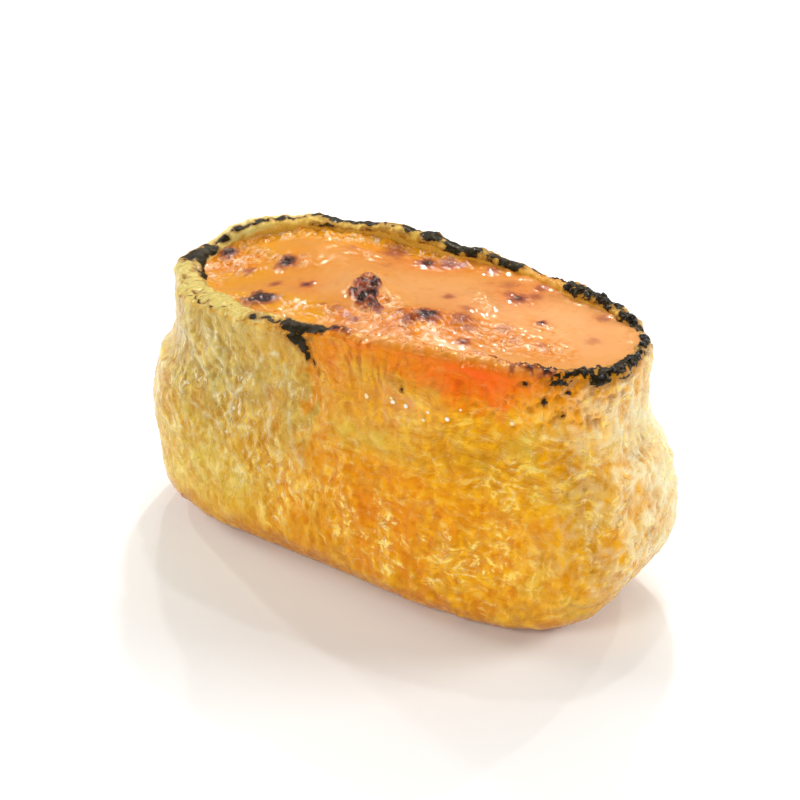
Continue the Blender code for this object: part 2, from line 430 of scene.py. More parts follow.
def buildPouch():
    rows = []
    side = []  # 0 underside, 1 outside, 2 lip, 3 inside
    for k in range(5):
        rows.append(place(outerReach[0] * k / 5.0, 0.02))
        side.append(0.0)
    for r in range(len(outerHeights)):
        rows.append(place(outerReach[r], outerHeights[r]))
        side.append(1.0)
    top, bottom = outerReach[-1], innerReach[0]
    middle, half = 0.5 * (top + bottom), 0.5 * (top - bottom)
    for k in range(1, pouch["rimRows"]):
        turn = math.pi * k / pouch["rimRows"]
        rise = pouch["shoulder"] * math.sin(turn) ** 0.85
        rows.append(place(middle + half * math.cos(turn), shoulder + rise))
        side.append(1.0 + k / pouch["rimRows"])
    for r, depth in enumerate(innerDepths):
        rows.append(place(innerReach[r], shoulder - depth))
        side.append(3.0)
    for k in (0.7, 0.35, 0.0):
        rows.append(place(innerReach[-1] * k, shoulder - innerDepths[-1]))
        side.append(3.0)
    grid = np.array(rows)
    side = np.array(side)[:, None] + np.zeros(len(along))
    alongGrid = np.zeros(grid.shape[:2]) + along
    height = grid[..., 2]
    normal = gridNormals(grid)
    outside = (side == 1.0) * 1.0

    # wandering coordinates, so that nothing runs dead straight
    warp = np.stack([bumps(grid, 6.0, 11 + k) for k in range(3)], -1)
    warped = grid + 1.8 * warp
    lifted = pouch["bigWaves"] * bumps(grid, 9.0, 2, octaves=2)
    leftZone = hump(alongGrid, 107.0, 15.0) * softStep(2.0, 10.0, height)
    endZone = np.clip(hump(alongGrid, 168.0, 9.0) + hump(alongGrid, 0.0, 8.0), 0.0, 1.0)
    rightZone = hump(alongGrid, 152.0, 9.0) * hump(height, 26.0, 7.0)
    farZone = hump(alongGrid, 84.0, 13.0)
    middleZone = hump(alongGrid, 128.0, 13.0) * hump(height, 12.0, 11.0)
    backFolds = hump(alongGrid, 30.0, 7.0) * hump(height, 22.0, 12.0) + hump(alongGrid, 54.0, 6.0) * hump(height, 18.0, 12.0)
    upright = ridges(warped, 2.7, 7, stretch=(1.0, 1.0, 3.2))
    level = ridges(warped + 0.35 * warped[..., ::-1], 2.6, 8, stretch=(2.6, 2.6, 1.0))
    mixed = ridges(warped, 3.1, 9)
    uprightShare = np.clip(0.30 + 0.5 * leftZone + 0.35 * endZone + 0.4 * farZone + 0.4 * backFolds, 0.0, 1.0)
    levelShare = 0.65 * rightZone + 0.5 * hump(alongGrid, 42.0, 6.0) * hump(height, 27.0, 6.0)
    folds = (1.0 - uprightShare - levelShare) * mixed + uprightShare * upright + levelShare * level
    strength = 0.72 + 0.35 * leftZone + 0.45 * endZone + 0.35 * middleZone + 0.6 * backFolds
    strength -= 0.5 * hump(alongGrid, 105.0, 12.0) * hump(height, 9.0, 7.0)
    lifted += pouch["crumple"] * strength * (folds - 0.42)
    wander = bumps(grid, 5.0, 17)
    for middle, spread, top, amount in pouch["hips"]:
        near = hump((alongGrid - middle + girth / 2) % girth - girth / 2, 0.0, spread)
        over = height - top - 1.2 * wander
        step = (1.0 - softStep(-1.2, 1.0, over)) * softStep(-16.0, -6.0, over) - 0.5 * hump(over, 3.4, 2.6)
        lifted += amount * near * step
    fine = bumps(warped, 0.95, 19, stretch=(1.0, 1.0, 1.5), octaves=2)
    lifted += pouch["sponge"] * fine
    flecks = softStep(0.10, 0.50, bumps(warped, 2.0, 13, stretch=(1.0, 1.0, 2.0), octaves=2))
    lifted += 0.20 * flecks * middleZone
    streaks = softStep(0.15, 0.6, bumps(grid, 4.0, 15, stretch=(0.55, 0.55, 3.0)))

    # overlapping edges
    points = np.array(pouch["upperEdge"])
    left = alongGrid - np.interp(height, points[::-1, 1], points[::-1, 0])
    onEdge = softStep(13.0, 20.0, height) * outside
    upper = softStep(-9.0, -0.4, left) * (1.0 - softStep(-0.25, 0.35, left))
    lifted += pouch["upperEdgeLift"] * upper * onEdge
    points = np.array(pouch["flapEdge"])
    over = height - np.interp(alongGrid, points[:, 0], points[:, 1]) + 0.5 * wander
    onFlap = softStep(124.0, 127.0, alongGrid) * (1.0 - softStep(145.0, 152.0, alongGrid)) * outside
    flap = softStep(-0.3, 0.3, over) * (1.0 - softStep(1.5, 8.0, over))
    lifted += pouch["flapLift"] * flap * onFlap
    points = np.array(pouch["cornerCrease"])
    off = alongGrid - np.interp(height, points[::-1, 1], points[::-1, 0])
    crease = hump(off, 0.0, 0.9) * softStep(6.0, 11.0, height) * (1.0 - softStep(25.0, 29.0, height)) * outside
    lifted -= pouch["cornerCreaseDepth"] * crease
    lifted += 0.5 * hump(off, 2.2, 1.6) * softStep(8.0, 13.0, height) * (1.0 - softStep(23.0, 28.0, height)) * outside
    cellNet = softStep(0.42, 0.86, creases(warped, 1.5, 27, stretch=(1.0, 1.0, 1.9)))
    cellNet *= endZone * outside * softStep(5.0, 11.0, height) * softStep(-0.5, 0.3, bumps(warped, 3.0, 28, octaves=2))
    lifted += 0.20 * cellNet
    lines = np.zeros(grid.shape[:2])
    bentAlong = alongGrid + 0.9 * warp[..., 0] + 0.25 * fine
    bentHeight = height + 0.9 * warp[..., 2]
    for run in pouch["crestLines"]:
        for (a0, h0), (a1, h1) in zip(run[:-1], run[1:]):
            da, dh = a1 - a0, h1 - h0
            share = np.clip(((bentAlong - a0) * da + (bentHeight - h0) * dh) / (da * da + dh * dh), 0.0, 1.0)
            away = np.hypot(bentAlong - a0 - share * da, bentHeight - h0 - share * dh)
            lines = np.maximum(lines, hump(away, 0.0, 0.27))
    lines *= outside * softStep(-0.45, 0.35, bumps(grid, 1.8, 25, octaves=2))
    lifted += pouch["crestLift"] * lines
    draw = np.random.default_rng(pouch["pitSeed"])
    a, h, spreadA, spreadH, count = pouch["pitPatch"]
    pits = list(pouch["pits"])
    for _ in range(count):
        radius = draw.uniform(0.22, 0.55)
        pits.append((a + 0.8 * spreadA * draw.normal(), h + 0.8 * spreadH * draw.normal(), radius, 0.5 * radius))
    pitted = np.zeros(grid.shape[:2])
    for a, h, radius, depth in pits:
        away = np.hypot(alongGrid - a, height - h)
        lifted += outside * (0.55 * depth * hump(away, radius * 1.5, radius * 0.5) - depth * hump(away, 0.0, radius))
        pitted = np.maximum(pitted, outside * hump(away, 0.0, radius * 0.9))

    # bubbled, browned skin under the lip, and small pores there
    browned = hump(alongGrid, 157.0, 6.5) * hump(height, 34.5, 2.8) * outside
    cells = creases(grid, 1.5, 21)
    lifted += 0.30 * browned * (0.5 - cells)
    calm = softStep(0.0, 2.4, height) * (side > 0.0)
    hidden = (side >= 3.0) * softStep(2.0, 3.5, shoulder - height)
    lifted = lifted * calm * (1.0 - 0.9 * hidden)
    onLip = (side > 1.0) * (side < 3.0)
    rough = 0.35 + 0.65 * softStep(14.0, 20.0, grid[..., 0])
    lifted += onLip * rough * (0.20 * bumps(grid, 0.8, 31, octaves=2) + 0.10 * fine)
    lifted = np.clip(lifted, -1.3, 1.5)
    lifted[-3:] = 0.0
    grid = grid + normal * lifted[..., None]
    grid[..., 2] = np.maximum(grid[..., 2], 0.0)
    grid[-1, :, 2] = grid[-1, :, 2].mean()

    # colours
    blotch = bumps(grid, 5.0, 41, octaves=2)
    smallBlotch = bumps(grid, 1.3, 43, stretch=(1.0, 1.0, 2.0), octaves=2)
    tint = np.zeros(grid.shape) + linear(skinColours["golden"])
    tint = mixIn(tint, skinColours["straw"], 0.55 * softStep(-0.2, 0.6, blotch))
    shiftAlong = alongGrid + 2.2 * blotch
    shiftHeight = height + 1.8 * smallBlotch
    for a, h, spreadA, spreadH, colour, strength in skinPatches:
        da = (shiftAlong - a + girth / 2) % girth - girth / 2
        amount = strength * np.exp(-((da / spreadA) ** 2 + ((shiftHeight - h) / spreadH) ** 2) ** 1.3)
        tint = mixIn(tint, skinColours[colour], amount * (side <= 1.6))
    # painted shade: the wall turns darker brown towards the bottom, where contact with the floor shades it
    tint = mixIn(tint, skinColours["bottomShadeBrown"], 0.85 * (1.0 - softStep(0.5, 7.0, shiftHeight)) * (side <= 1.0))
    clusters = softStep(-0.35, 0.45, bumps(warped, 4.6, 45, octaves=2))
    crest = softStep(0.40, 0.75, folds) * (0.15 + 0.85 * clusters)
    hollow = (1.0 - softStep(0.10, 0.42, folds)) * (1.0 - 0.5 * clusters)
    smoothBand = np.clip(hump(height, 25.0, 3.0) * hump(alongGrid, 133.0, 10.0), 0.0, 1.0)
    middling = bumps(warped, 2.4, 47, stretch=(1.0, 1.0, 1.6), octaves=2)
    stained = np.clip(hump(alongGrid, 141.0, 21.0) * softStep(31.0, 34.5, height), 0.0, 1.0)
    orangeShare = np.clip(hump(alongGrid, 138.0, 20.0) * hump(height, 13.0, 14.0) + 0.20, 0.0, 1.0)
    wall = side <= 1.1
    # painted shade: deeper, darker orange in the hollows of the folds
    tint = mixIn(tint, skinColours["deepOrange"], 0.80 * hollow * orangeShare * wall)
    plainer = (1.0 - 0.6 * leftZone) * (1.0 - 0.6 * endZone)
    tint = mixIn(tint, skinColours["amberShade"], 0.45 * hollow * (1.0 - orangeShare) * plainer * wall)
    tint = mixIn(tint, skinColours["amberShade"], 0.40 * softStep(0.05, 0.5, middling) * wall * (1.0 - stained))
    mottled = bumps(warped, 1.1, 51, stretch=(1.0, 1.0, 1.5), octaves=3)
    streak = (hump(alongGrid, 137.6, 2.0) + 0.8 * hump(alongGrid, 131.2, 1.5)) * hump(height, 13.0, 11.0)
    lit = softStep(0.0, 0.45, mottled) * (1.0 - 0.9 * streak) * (1.0 - stained) * wall
    warm = np.clip(1.15 * hump(alongGrid, 143.0, 22.0) + 0.25 - 0.9 * smoothBand, 0.0, 1.0)
    tint = mixIn(tint, skinColours["mottle"], 0.58 * lit * warm)
    tint = mixIn(tint, skinColours["paleOlive"], 0.55 * lit * (1.0 - warm) * np.clip(leftZone + 0.5 * farZone, 0.0, 1.0))
    tint = mixIn(tint, skinColours["strand"], 0.16 * softStep(0.05, 0.5, -mottled) * orangeShare * wall)
    # paler crests of the folds: the skin's cream crests with painted highlight
    tint = mixIn(tint, skinColours["crest"], crest * 0.45 * (1.0 - 0.75 * stained) * wall)
    tint = mixIn(tint, skinColours["cream"], crest * 0.55 * np.maximum(leftZone, endZone) * wall)
    tint = mixIn(tint, skinColours["deepOrange"], 0.45 * streaks * middleZone)
    tint = mixIn(tint, skinColours["brown"], 0.15 * browned * softStep(0.35, 0.9, cells))
    strands = softStep(0.0, 0.5, bumps(warped, 1.2, 49, stretch=(0.6, 0.6, 3.5), octaves=2))
    tint = mixIn(tint, skinColours["brown"], 0.30 * strands * stained * outside)
    tint = mixIn(tint, skinColours["strand"], 0.60 * strands * hump(alongGrid, 130.0, 8.0) * hump(height, 34.0, 3.0) * outside)
    redZone = hump(alongGrid, 149.0, 6.0) * hump(height, 36.4, 1.7) * outside
    tint = mixIn(tint, skinColours["redOrange"], 0.7 * redZone)
    # pale crest lines and crease net: paler ridges of the skin with painted highlight
    tint = mixIn(tint, skinColours["paleSkinAndHighlight"], 0.85 * np.maximum(0.8 * lines, cellNet))
    tint = mixIn(tint, skinColours["pitBrown"], 0.48 * softStep(0.35, 0.9, pitted))
    # painted shade in the corner crease
    tint = mixIn(tint, skinColours["amberShade"], 0.5 * crease)
    edgeShare = softStep(13.0, 24.0, height) * outside
    left = left + 2.4 * smallBlotch + 1.6 * bumps(grid, 3.0, 44)
    tint = mixIn(tint, skinColours["khaki"], 0.45 * softStep(-7.0, -1.0, left) * (1.0 - softStep(-0.5, 0.8, left)) * edgeShare)
    # painted shade: a darker line on the tucked side of the overlapping upper edge
    tint = mixIn(tint, skinColours["deepOrange"], 0.6 * hump(left, 1.2, 1.1) * edgeShare)
    # painted shade just below the flap edge
    tint = mixIn(tint, skinColours["amberShade"], 0.5 * hump(over, -0.5, 0.7) * onFlap)
    lipShare = softStep(1.0, 1.35, side)
    frontLip = hump(alongGrid, 141.0, 17.0)
    tint = mixIn(tint, skinColours["lipOlive"], 0.9 * softStep(1.2, 1.5, side) * (1.0 - frontLip))
    tint = mixIn(tint, skinColours["lipOrange"], 0.9 * lipShare * frontLip)
    tint = mixIn(tint, skinColours["lipOrange"], 0.6 * lipShare * hump(alongGrid, 26.0, 4.5))
    inward = softStep(1.55, 1.95, side) * softStep(0.0, 4.0, grid[..., 1])
    tint = mixIn(tint, skinColours["innerLip"], 0.75 * inward)
    deep = (side >= 3.0) * softStep(0.4, 2.0, shoulder - height)
    tint = mixIn(tint, skinColours["lipOrange"], 0.6 * deep)

    underLip = 0.6 * outside * softStep(5.0, 0.5, lip - height + 1.2 * smallBlotch)
    leftRim = np.maximum(softStep(1.0, 1.25, side), underLip) * (side < 2.2)
    leftRim = leftRim * softStep(66.0, 76.0, alongGrid) * softStep(121.0, 116.0, alongGrid)
    tint = mixIn(tint, skinColours["rimOlive"], np.clip(0.8 + 0.4 * smallBlotch, 0.0, 1.0) * leftRim)

    # painted highlight: a cream band on the outer side of the lip at the far end, standing in for its white glare
    paintedEdgeGlare = hump(alongGrid, 75.0, 7.0) * softStep(1.0, 1.2, side) * softStep(1.55, 1.4, side)
    tint = mixIn(tint, skinColours["cream"], 0.8 * paintedEdgeGlare)
    tint = tint * (1.0 - 0.15 * leftZone * softStep(8.0, 24.0, height) * outside)[..., None]

    # burnt places
    burn = np.zeros(grid.shape[:2])
    burn = np.maximum(burn, burntLip(grid, alongGrid, side, lip - height))
    for a, h, spreadA, spreadH, strength in charOnWall:
        da = alongGrid - a
        burn = np.maximum(burn, strength * outside * np.exp(-((da / spreadA) ** 2 + ((height - h) / spreadH) ** 2)))
    cracks = softStep(0.85, 0.99, creases(grid, 2.6, 53))
    burn = np.maximum(burn, 0.74 * cracks * hump(alongGrid, 104.0, 14.0) * onLip)
    crusted = softStep(12.0, 20.0, grid[..., 0]) * softStep(0.55, 0.85, burn)
    lump = crusted * (0.08 + 0.35 * bumps(grid, 0.9, 57))
    grid = grid + normal * lump[..., None]
    grid[..., 2] = np.maximum(grid[..., 2], 0.0)
    columns = hump(alongGrid, 127.8, 2.2) + hump(alongGrid, 134.2, 1.4) + hump(alongGrid, 141.5, 2.4) + 0.5 * hump(alongGrid, 147.0, 6.0)
    columns += 0.7 * hump(alongGrid, 117.0, 2.6) * hump(height, 11.0, 6.0)
    columns = np.clip(columns, 0.0, 1.0) * hump(height, 11.0, 9.0)
    footCalm = softStep(1.5, 6.0, height + 1.5 * blotch)
    fleckShare = 0.34 + 0.20 * leftZone + 0.90 * columns + 0.75 * endZone + 0.25 * rightZone
    fleckShare += 0.45 * backFolds + 0.40 * hump(alongGrid, 140.0, 14.0) * hump(height, 9.0, 8.0)
    fleckShare = fleckShare * (0.25 + 0.75 * clusters) * (1.0 - 0.8 * stained) * (1.0 - 0.8 * lipShare)
    fleckShare = fleckShare * (1.0 - 0.7 * smoothBand) * (0.2 + 0.8 * footCalm) * (1.0 - 0.7 * leftRim)
    netShare = 0.10 + 0.4 * backFolds + 0.75 * leftZone * softStep(7.0, 20.0, height) + 0.95 * endZone + 0.45 * columns + 0.2 * farZone
    netShare = (netShare + 0.1 * browned + 0.12 * rightZone) * (1.0 - 0.6 * stained * (1.0 - browned))
    netShare = netShare * (1.0 - 0.7 * lipShare) * (0.1 + 0.9 * footCalm) * (0.4 + 0.6 * clusters) * (1.0 - 0.5 * leftRim)
    masks = {
        "burn": 0.8 * burn,
        "crust": crusted,
        "flecks": fleckShare,
        "net": netShare,
        "beads": outside * hump(alongGrid, 139.0, 5.2) * hump(height, 30.4, 1.4),
        "upright": np.clip(0.6 + 0.4 * leftZone + 0.2 * middleZone - 0.6 * rightZone - 0.3 * onFlap, 0.0, 1.0),
    }
    mesh = gridMesh("tofuPouch", grid, tint, masks)
    return mesh, grid, normal, side[:, 0]


pouchMesh, pouchGrid, pouchNormal, pouchSide = buildPouch()
print("pouch:", len(pouchMesh.vertices), "vertices")


print("sauce: the seared top")

sauce = {
    "rings": 72,
    "tuck": 0.75,          # how far the edge goes into the skin
    "wetBumps": 0.46,
    "calmBumps": 0.06,
    # soft ridges: x, y, half length, half width, turn, height
    "mounds": [(12.4, 2.2, 3.6, 1.2, -42.0, 0.75), (9.0, -6.0, 3.6, 2.2, 10.0, 0.5), (-3.0, -9.5, 3.4, 1.4, 0.0, 0.35)],
}

sauceColours = {
    "peach": (208, 138, 58),
    "glintWhite": (255, 226, 178),
    "pale": (234, 172, 116),
    "orange": (222, 144, 28),
    "amber": (214, 124, 0),
    "gold": (214, 146, 0),
    "red": (200, 80, 10),
    "redBrown": (146, 60, 20),
}

# Broad colour patches: x, y, spreads, colour, strength
saucePatches = [
    # the pale patches: paler sauce with painted sheen; the two near-white patches after them are painted glints
    (24.0, 2.0, 12.0, 9.0, "pale", 0.7),
    (8.0, 2.0, 12.0, 6.0, "pale", 0.35),
    (-3.0, -3.0, 6.0, 4.0, "pale", 0.35),
    (14.0, -11.0, 9.0, 2.6, "pale", 0.6),
    (17.0, -10.4, 6.0, 1.5, "glintWhite", 0.7),
    (5.0, -8.4, 3.0, 1.2, "glintWhite", 0.5),
    (-23.0, -2.0, 7.0, 5.0, "gold", 1.0),
    (-8.0, 10.0, 14.0, 3.0, "orange", 0.5),
    (-17.5, -9.8, 4.0, 1.6, "gold", 1.0),
    (-12.0, -10.2, 7.0, 2.4, "gold", 1.0),
    (-6.4, -9.4, 3.4, 2.4, "gold", 0.9),
    (-3.4, -10.0, 1.8, 2.2, "amber", 0.9),
    (6.0, -9.5, 3.6, 1.6, "amber", 0.6),
    (19.0, -10.6, 2.4, 1.2, "amber", 0.7),
    (-25.0, -2.5, 2.5, 2.0, "amber", 0.5),
]

# Seared spots: x, y, radius, how dark, how raised
spots = [
    (-15.8, -0.3, 1.15, 1.0, 0.30), (-25.6, -0.1, 1.15, 0.95, 0.35), (-20.0, -2.9, 0.85, 0.55, 0.25),
    (-9.6, -4.3, 0.75, 0.8, 0.15), (-14.0, -5.1, 0.8, 0.55, 0.05), (-12.2, -10.4, 1.6, 1.5, 0.22),
    (-13.8, -8.8, 0.9, 0.7, 0.2), (-5.0, 8.3, 1.7, 0.55, 0.05), (0.0, 8.2, 1.0, 1.0, 0.20),
    (2.4, 9.4, 1.2, 0.65, 0.15), (4.0, 9.9, 0.7, 0.6, 0.1), (8.4, 10.6, 0.9, 0.5, 0.1),
    (16.0, 9.8, 0.8, 0.55, 0.1), (15.2, 5.6, 1.1, 0.8, 0.2), (13.6, 6.0, 0.9, 0.4, 0.1),
    (16.6, 7.4, 1.2, 0.42, 0.1), (12.2, 8.4, 1.3, 0.36, 0.05), (26.2, 7.0, 1.0, 0.42, 0.05), (21.0, 1.6, 0.55, 0.85, 0.1),
    (8.2, 0.8, 0.75, 0.5, 0.1), (9.8, -6.1, 1.25, 1.0, 0.35), (8.4, -8.0, 0.8, 0.7, 0.25),
    (6.4, -6.9, 0.6, 0.55, 0.2), (13.2, -3.8, 1.2, 0.62, 0.35), (15.0, -5.2, 0.8, 0.5, 0.25),
    (16.4, -8.5, 0.8, 0.75, 0.2), (19.4, -10.4, 0.8, 0.62, 0.2), (2.0, -10.1, 0.6, 0.65, 0.15),
    (-1.8, -8.9, 1.2, 0.42, 0.2), (0.4, -9.6, 0.7, 0.42, 0.15), (12.0, -1.0, 0.7, 0.4, 0.15),
    (20.6, -4.0, 0.9, 0.32, 0.15), (24.0, -3.4, 0.9, 0.36, 0.15), (18.0, -2.4, 1.1, 0.4, 0.1), (28.4, 1.0, 1.0, 0.34, 0.05),
    (-10.0, 6.0, 0.7, 0.32, 0.1), (-3.6, 4.6, 0.9, 0.28, 0.1), (-28.0, -3.2, 0.8, 0.5, 0.2),
    (-22.6, 3.6, 0.8, 0.3, 0.05), (10.0, 7.6, 0.7, 0.22, 0.05), (-4.0, -8.4, 0.6, 0.4, 0.1),
]

# Wet, bubbled areas: x, y, spreads, strength
wetAreas = [
    (-23.5, -1.4, 5.0, 2.8, 1.0), (-15.0, 0.4, 3.0, 1.6, 0.7), (-24.0, -6.0, 3.0, 2.6, 0.5),
    (-14.0, -10.4, 6.5, 2.2, 0.9), (-4.0, -10.2, 6.0, 2.4, 0.8), (7.0, -8.6, 6.5, 3.4, 1.0),
    (12.0, -6.6, 3.6, 3.0, 0.9), (18.5, -4.6, 5.0, 3.4, 0.7), (25.0, -4.0, 4.0, 3.0, 0.5),
    (2.0, -5.0, 3.0, 2.4, 0.9), (12.0, -12.0, 8.0, 1.6, 0.7), (-8.0, 5.4, 4.0, 1.6, 0.35),
    (-11.0, 11.2, 8.0, 1.2, 0.6), (2.6, 9.4, 2.4, 1.0, 0.6), (22.0, 0.6, 3.0, 1.4, 0.3),
]

# The seared lump and what has run from it: x, y, radius, height
nodules = [
    (-1.6, -2.2, 1.3, 0.30), (-0.3, -2.7, 1.0, 0.70), (-1.4, -3.7, 1.1, 0.75), (0.2, -4.1, 1.0, 0.95),
    (-2.3, -3.4, 0.9, 0.45), (-2.0, -4.9, 0.9, 0.50), (-0.6, -5.2, 1.0, 0.75), (0.9, -5.4, 0.9, 0.80),
    (0.2, -6.4, 0.8, 0.55), (2.0, -6.3, 0.8, 0.60), (1.4, -7.2, 0.7, 0.4), (3.2, -6.9, 0.8, 0.5), (3.9, -7.7, 0.6, 0.3),
]


def buildSauce():
    rings = sauce["rings"]
    count = len(along)
    edge = innerReach[3] + 0.0
    limit = np.zeros(count)
    for c in range(count):
        limit[c] = reachAt(fillTree, c, lip[c] - 3.4) - 0.35
    limit = np.minimum(blur(limit[None], 0, 16)[0], edge - 0.3)
    shares = np.linspace(0.0, 1.0, rings)
    level = np.zeros((rings, count))
    for r, share in enumerate(shares):
        for c in range(count):
            level[r, c] = topAt(fillTree, c, share * limit[c])
    level = blur(level, 6, 14)
    level[0] = 0.5 * (level[0] + level[0][(-np.arange(count)) % count])
    rows = []
    for r, share in enumerate(shares):
        rows.append(place(share * (edge + sauce["tuck"]), level[r]))
    grid = np.array(rows)
    x, y = grid[..., 0], grid[..., 1]

    wet = np.zeros(x.shape)
    for cx, cy, sx, sy, strength in wetAreas:
        wet = np.maximum(wet, strength * np.exp(-(((x - cx) / sx) ** 2 + ((y - cy) / sy) ** 2)))
    # a foaming amber strip along the skin at the back left
    toWall = edge - shares[:, None] * (edge + sauce["tuck"])
    backEdge = hump(toWall, 0.7, 1.5) * softStep(6.0, 0.0, x) * softStep(-2.0, 4.0, y)
    wet = np.maximum(wet, 0.75 * backEdge)
    flat = grid * np.array([1.0, 1.0, 0.0])
    wander = 0.9 * bumps(flat, 4.0, 61)
    warped = flat + wander[..., None]
    ridged = 1.0 - 2.4 * np.abs(bumps(warped, 1.6, 63))
    small = bumps(warped, 0.75, 65, octaves=2)
    cells = creases(warped, 1.25, 67)
    raise_ = sauce["calmBumps"] * bumps(flat, 3.0, 69, octaves=2)
    # clear amber pools at the front left, with raised edges; foam elsewhere
    pools = softStep(0.0, -3.0, x + 0.6 * small) * softStep(-6.0, -8.0, y) * softStep(0.1, 0.4, wet)
    poolEdges = softStep(0.82, 1.0, creases(warped, 2.6, 66))
    foamy = wet * (1.0 - 0.9 * pools)
    raise_ += sauce["wetBumps"] * foamy * (0.55 * ridged + 0.35 * small - 0.5 * cells)
    raise_ += 0.16 * foamy * ridges(warped, 1.0, 68) + 0.30 * foamy * bumps(warped, 2.0, 64)
    raise_ += 0.30 * pools * poolEdges
    for cx, cy, sx, sy, turn, tall in sauce["mounds"]:
        c, w = math.cos(math.radians(turn)), math.sin(math.radians(turn))
        u, v = c * (x - cx) + w * (y - cy), c * (y - cy) - w * (x - cx)
        raise_ += tall * np.exp(-(u / sx) ** 4 - (v / sy) ** 2) * (1.0 + 0.4 * small)
    lump = np.zeros(x.shape)
    for cx, cy, radius, tall in nodules:
        away = np.hypot(x - cx + 0.25 * small, y - cy + 0.25 * ridged * 0.5) / radius
        lump = np.maximum(lump, tall * np.sqrt(np.clip(1.0 - away ** 2, 0.0, 1.0)))
    lumpMask = softStep(0.05, 0.5, lump)
    crumbly = bumps(flat, 0.55, 79, octaves=2)
    raise_ += lump + lumpMask * (0.25 * small + 0.45 * crumbly)


    tint = np.zeros(grid.shape) + linear(sauceColours["peach"])
    blotch = bumps(flat, 4.5, 71, octaves=3)
    tint = mixIn(tint, sauceColours["orange"], 0.35 * softStep(0.1, 0.7, blotch))
    for cx, cy, sx, sy, colour, strength in saucePatches:
        amount = strength * np.exp(-(((x - cx + blotch) / sx) ** 2 + ((y - cy + 0.8 * blotch) / sy) ** 2) ** 1.3)
        tint = mixIn(tint, sauceColours[colour], amount)
    hollow = softStep(0.05, 0.6, wet * cells)
    tint = mixIn(tint, sauceColours["amber"], 0.85 * hollow * (1.0 - pools))
    tint = mixIn(tint, sauceColours["gold"], pools * (1.0 - poolEdges))
    # painted highlight: near-white glints along the raised pool edges
    tint = mixIn(tint, sauceColours["glintWhite"], 0.5 * pools * poolEdges)
    clear = np.maximum(pools, softStep(-15.0, -19.0, x))  # places without red
    tint = mixIn(tint, sauceColours["red"], 0.16 * (1.0 - clear) * softStep(0.15, 0.6, wet * bumps(warped, 2.1, 73)))
    grain = bumps(flat, 0.8, 75, octaves=3)
    sear = np.zeros(x.shape)
    for cx, cy, radius, dark, tall in spots:
        wobble = 1.0 + (0.1 if dark > 1.2 else 0.3) * grain
        away = np.hypot(x - cx, (y - cy)) / (1.35 * radius * wobble)
        core = np.exp(-(away ** 2) * 1.2)
        sear = np.maximum(sear, dark * core)
        halo = np.exp(-((away / 1.9) ** 2))
        reddened = 0.42 * min(dark, 1.0) * (0.25 if cx < -11.5 else 1.0)
        tint = mixIn(tint, sauceColours["red"], reddened * halo)
        raise_ += tall * np.exp(-((away / 1.1) ** 4)) * (0.8 + 0.5 * grain)
    sear = np.maximum(sear, lumpMask * np.clip(0.78 + 0.5 * grain + 0.5 * crumbly, 0.44, 1.2))
    tint = mixIn(tint, sauceColours["redBrown"], 0.85 * lumpMask)
    freckle = softStep(0.50, 0.72, bumps(flat, 1.1, 77, octaves=2)) * (0.25 + 0.6 * wet)
    tint = mixIn(tint, sauceColours["redBrown"], 0.6 * freckle * (1.0 - 0.75 * softStep(-16.0, -20.0, x)) * (1.0 - 0.8 * clear))
    dashes = softStep(0.05, 0.25, bumps(flat, 0.9, 83, stretch=(0.55, 1.4, 1.0), octaves=2)) * softStep(6.0, 12.0, x)
    tint = mixIn(tint, sauceColours["amber"], 0.75 * dashes * softStep(0.04, 0.3, wet))
    tint = mixIn(tint, sauceColours["gold"], 0.85 * backEdge)

    # the edge climbs a little where it meets the skin, and goes into it
    raise_ += (0.04 + 0.42 * (1.0 - softStep(-9.0, -3.0, x))) * hump(toWall, 0.0, 1.1)
    raise_ += 0.30 * hump(toWall, 0.3, 1.0) * softStep(-4.0, 2.0, x) * softStep(0.0, 3.0, y) * (0.3 + 0.6 * bumps(flat, 1.6, 78, octaves=2))
    level0 = raise_[0]
    raise_[0] = 0.5 * (level0 + level0[(-np.arange(count)) % count])
    tint[0] = 0.5 * (tint[0] + tint[0][(-np.arange(count)) % count])
    grid[..., 2] += raise_

    # underside: a shallow bowl, closed on the middle line
    under = []
    for share, drop in ((1.0, 1.0), (0.96, 1.8), (0.6, 1.8), (0.3, 1.8), (0.0, 1.8)):
        height = level[-1] * share + level[0] * (1.0 - share) - drop
        under.append(place((edge + sauce["tuck"]) * share, height))
    under[-1][:, 2] = 0.5 * (under[-1][:, 2] + under[-1][:, 2][(-np.arange(count)) % count])
    below = np.array(under)
    full = np.concatenate([grid, below])
    fullTint = np.concatenate([tint, np.repeat(tint[-1:], len(below), 0)])
    pad = np.zeros((len(below), count))
    masks = {
        "beads": np.concatenate([softStep(0.25, 0.9, wet + 0.3 * ridged) * softStep(-0.1, 0.4, small) * (1.0 - softStep(0.1, 0.4, sear)), pad]),
        "burn": np.concatenate([0.8 * sear, pad]),
        "flecks": np.concatenate([softStep(0.15, 0.8, wet), pad]),
        # net: where the shader lays its thin near-white lines (painted glints) and stronger bumps on the wet sauce
        "net": np.concatenate([softStep(0.1, 0.7, wet) * (1.0 - 0.8 * pools * (1.0 - poolEdges)), pad]),
        "upright": np.concatenate([0.5 + 0.0 * wet, pad]),
    }
    return gridMesh("searedSauce", full, fullTint, masks)


sauceMesh = buildSauce()
print("sauce:", len(sauceMesh.vertices), "vertices")


# Shared shader groups

def addNode(tree, kind, x, y, **values):
    node = tree.nodes.new(kind)
    node.location = (x, y)
    for key, value in values.items():
        setattr(node, key, value)
    return node


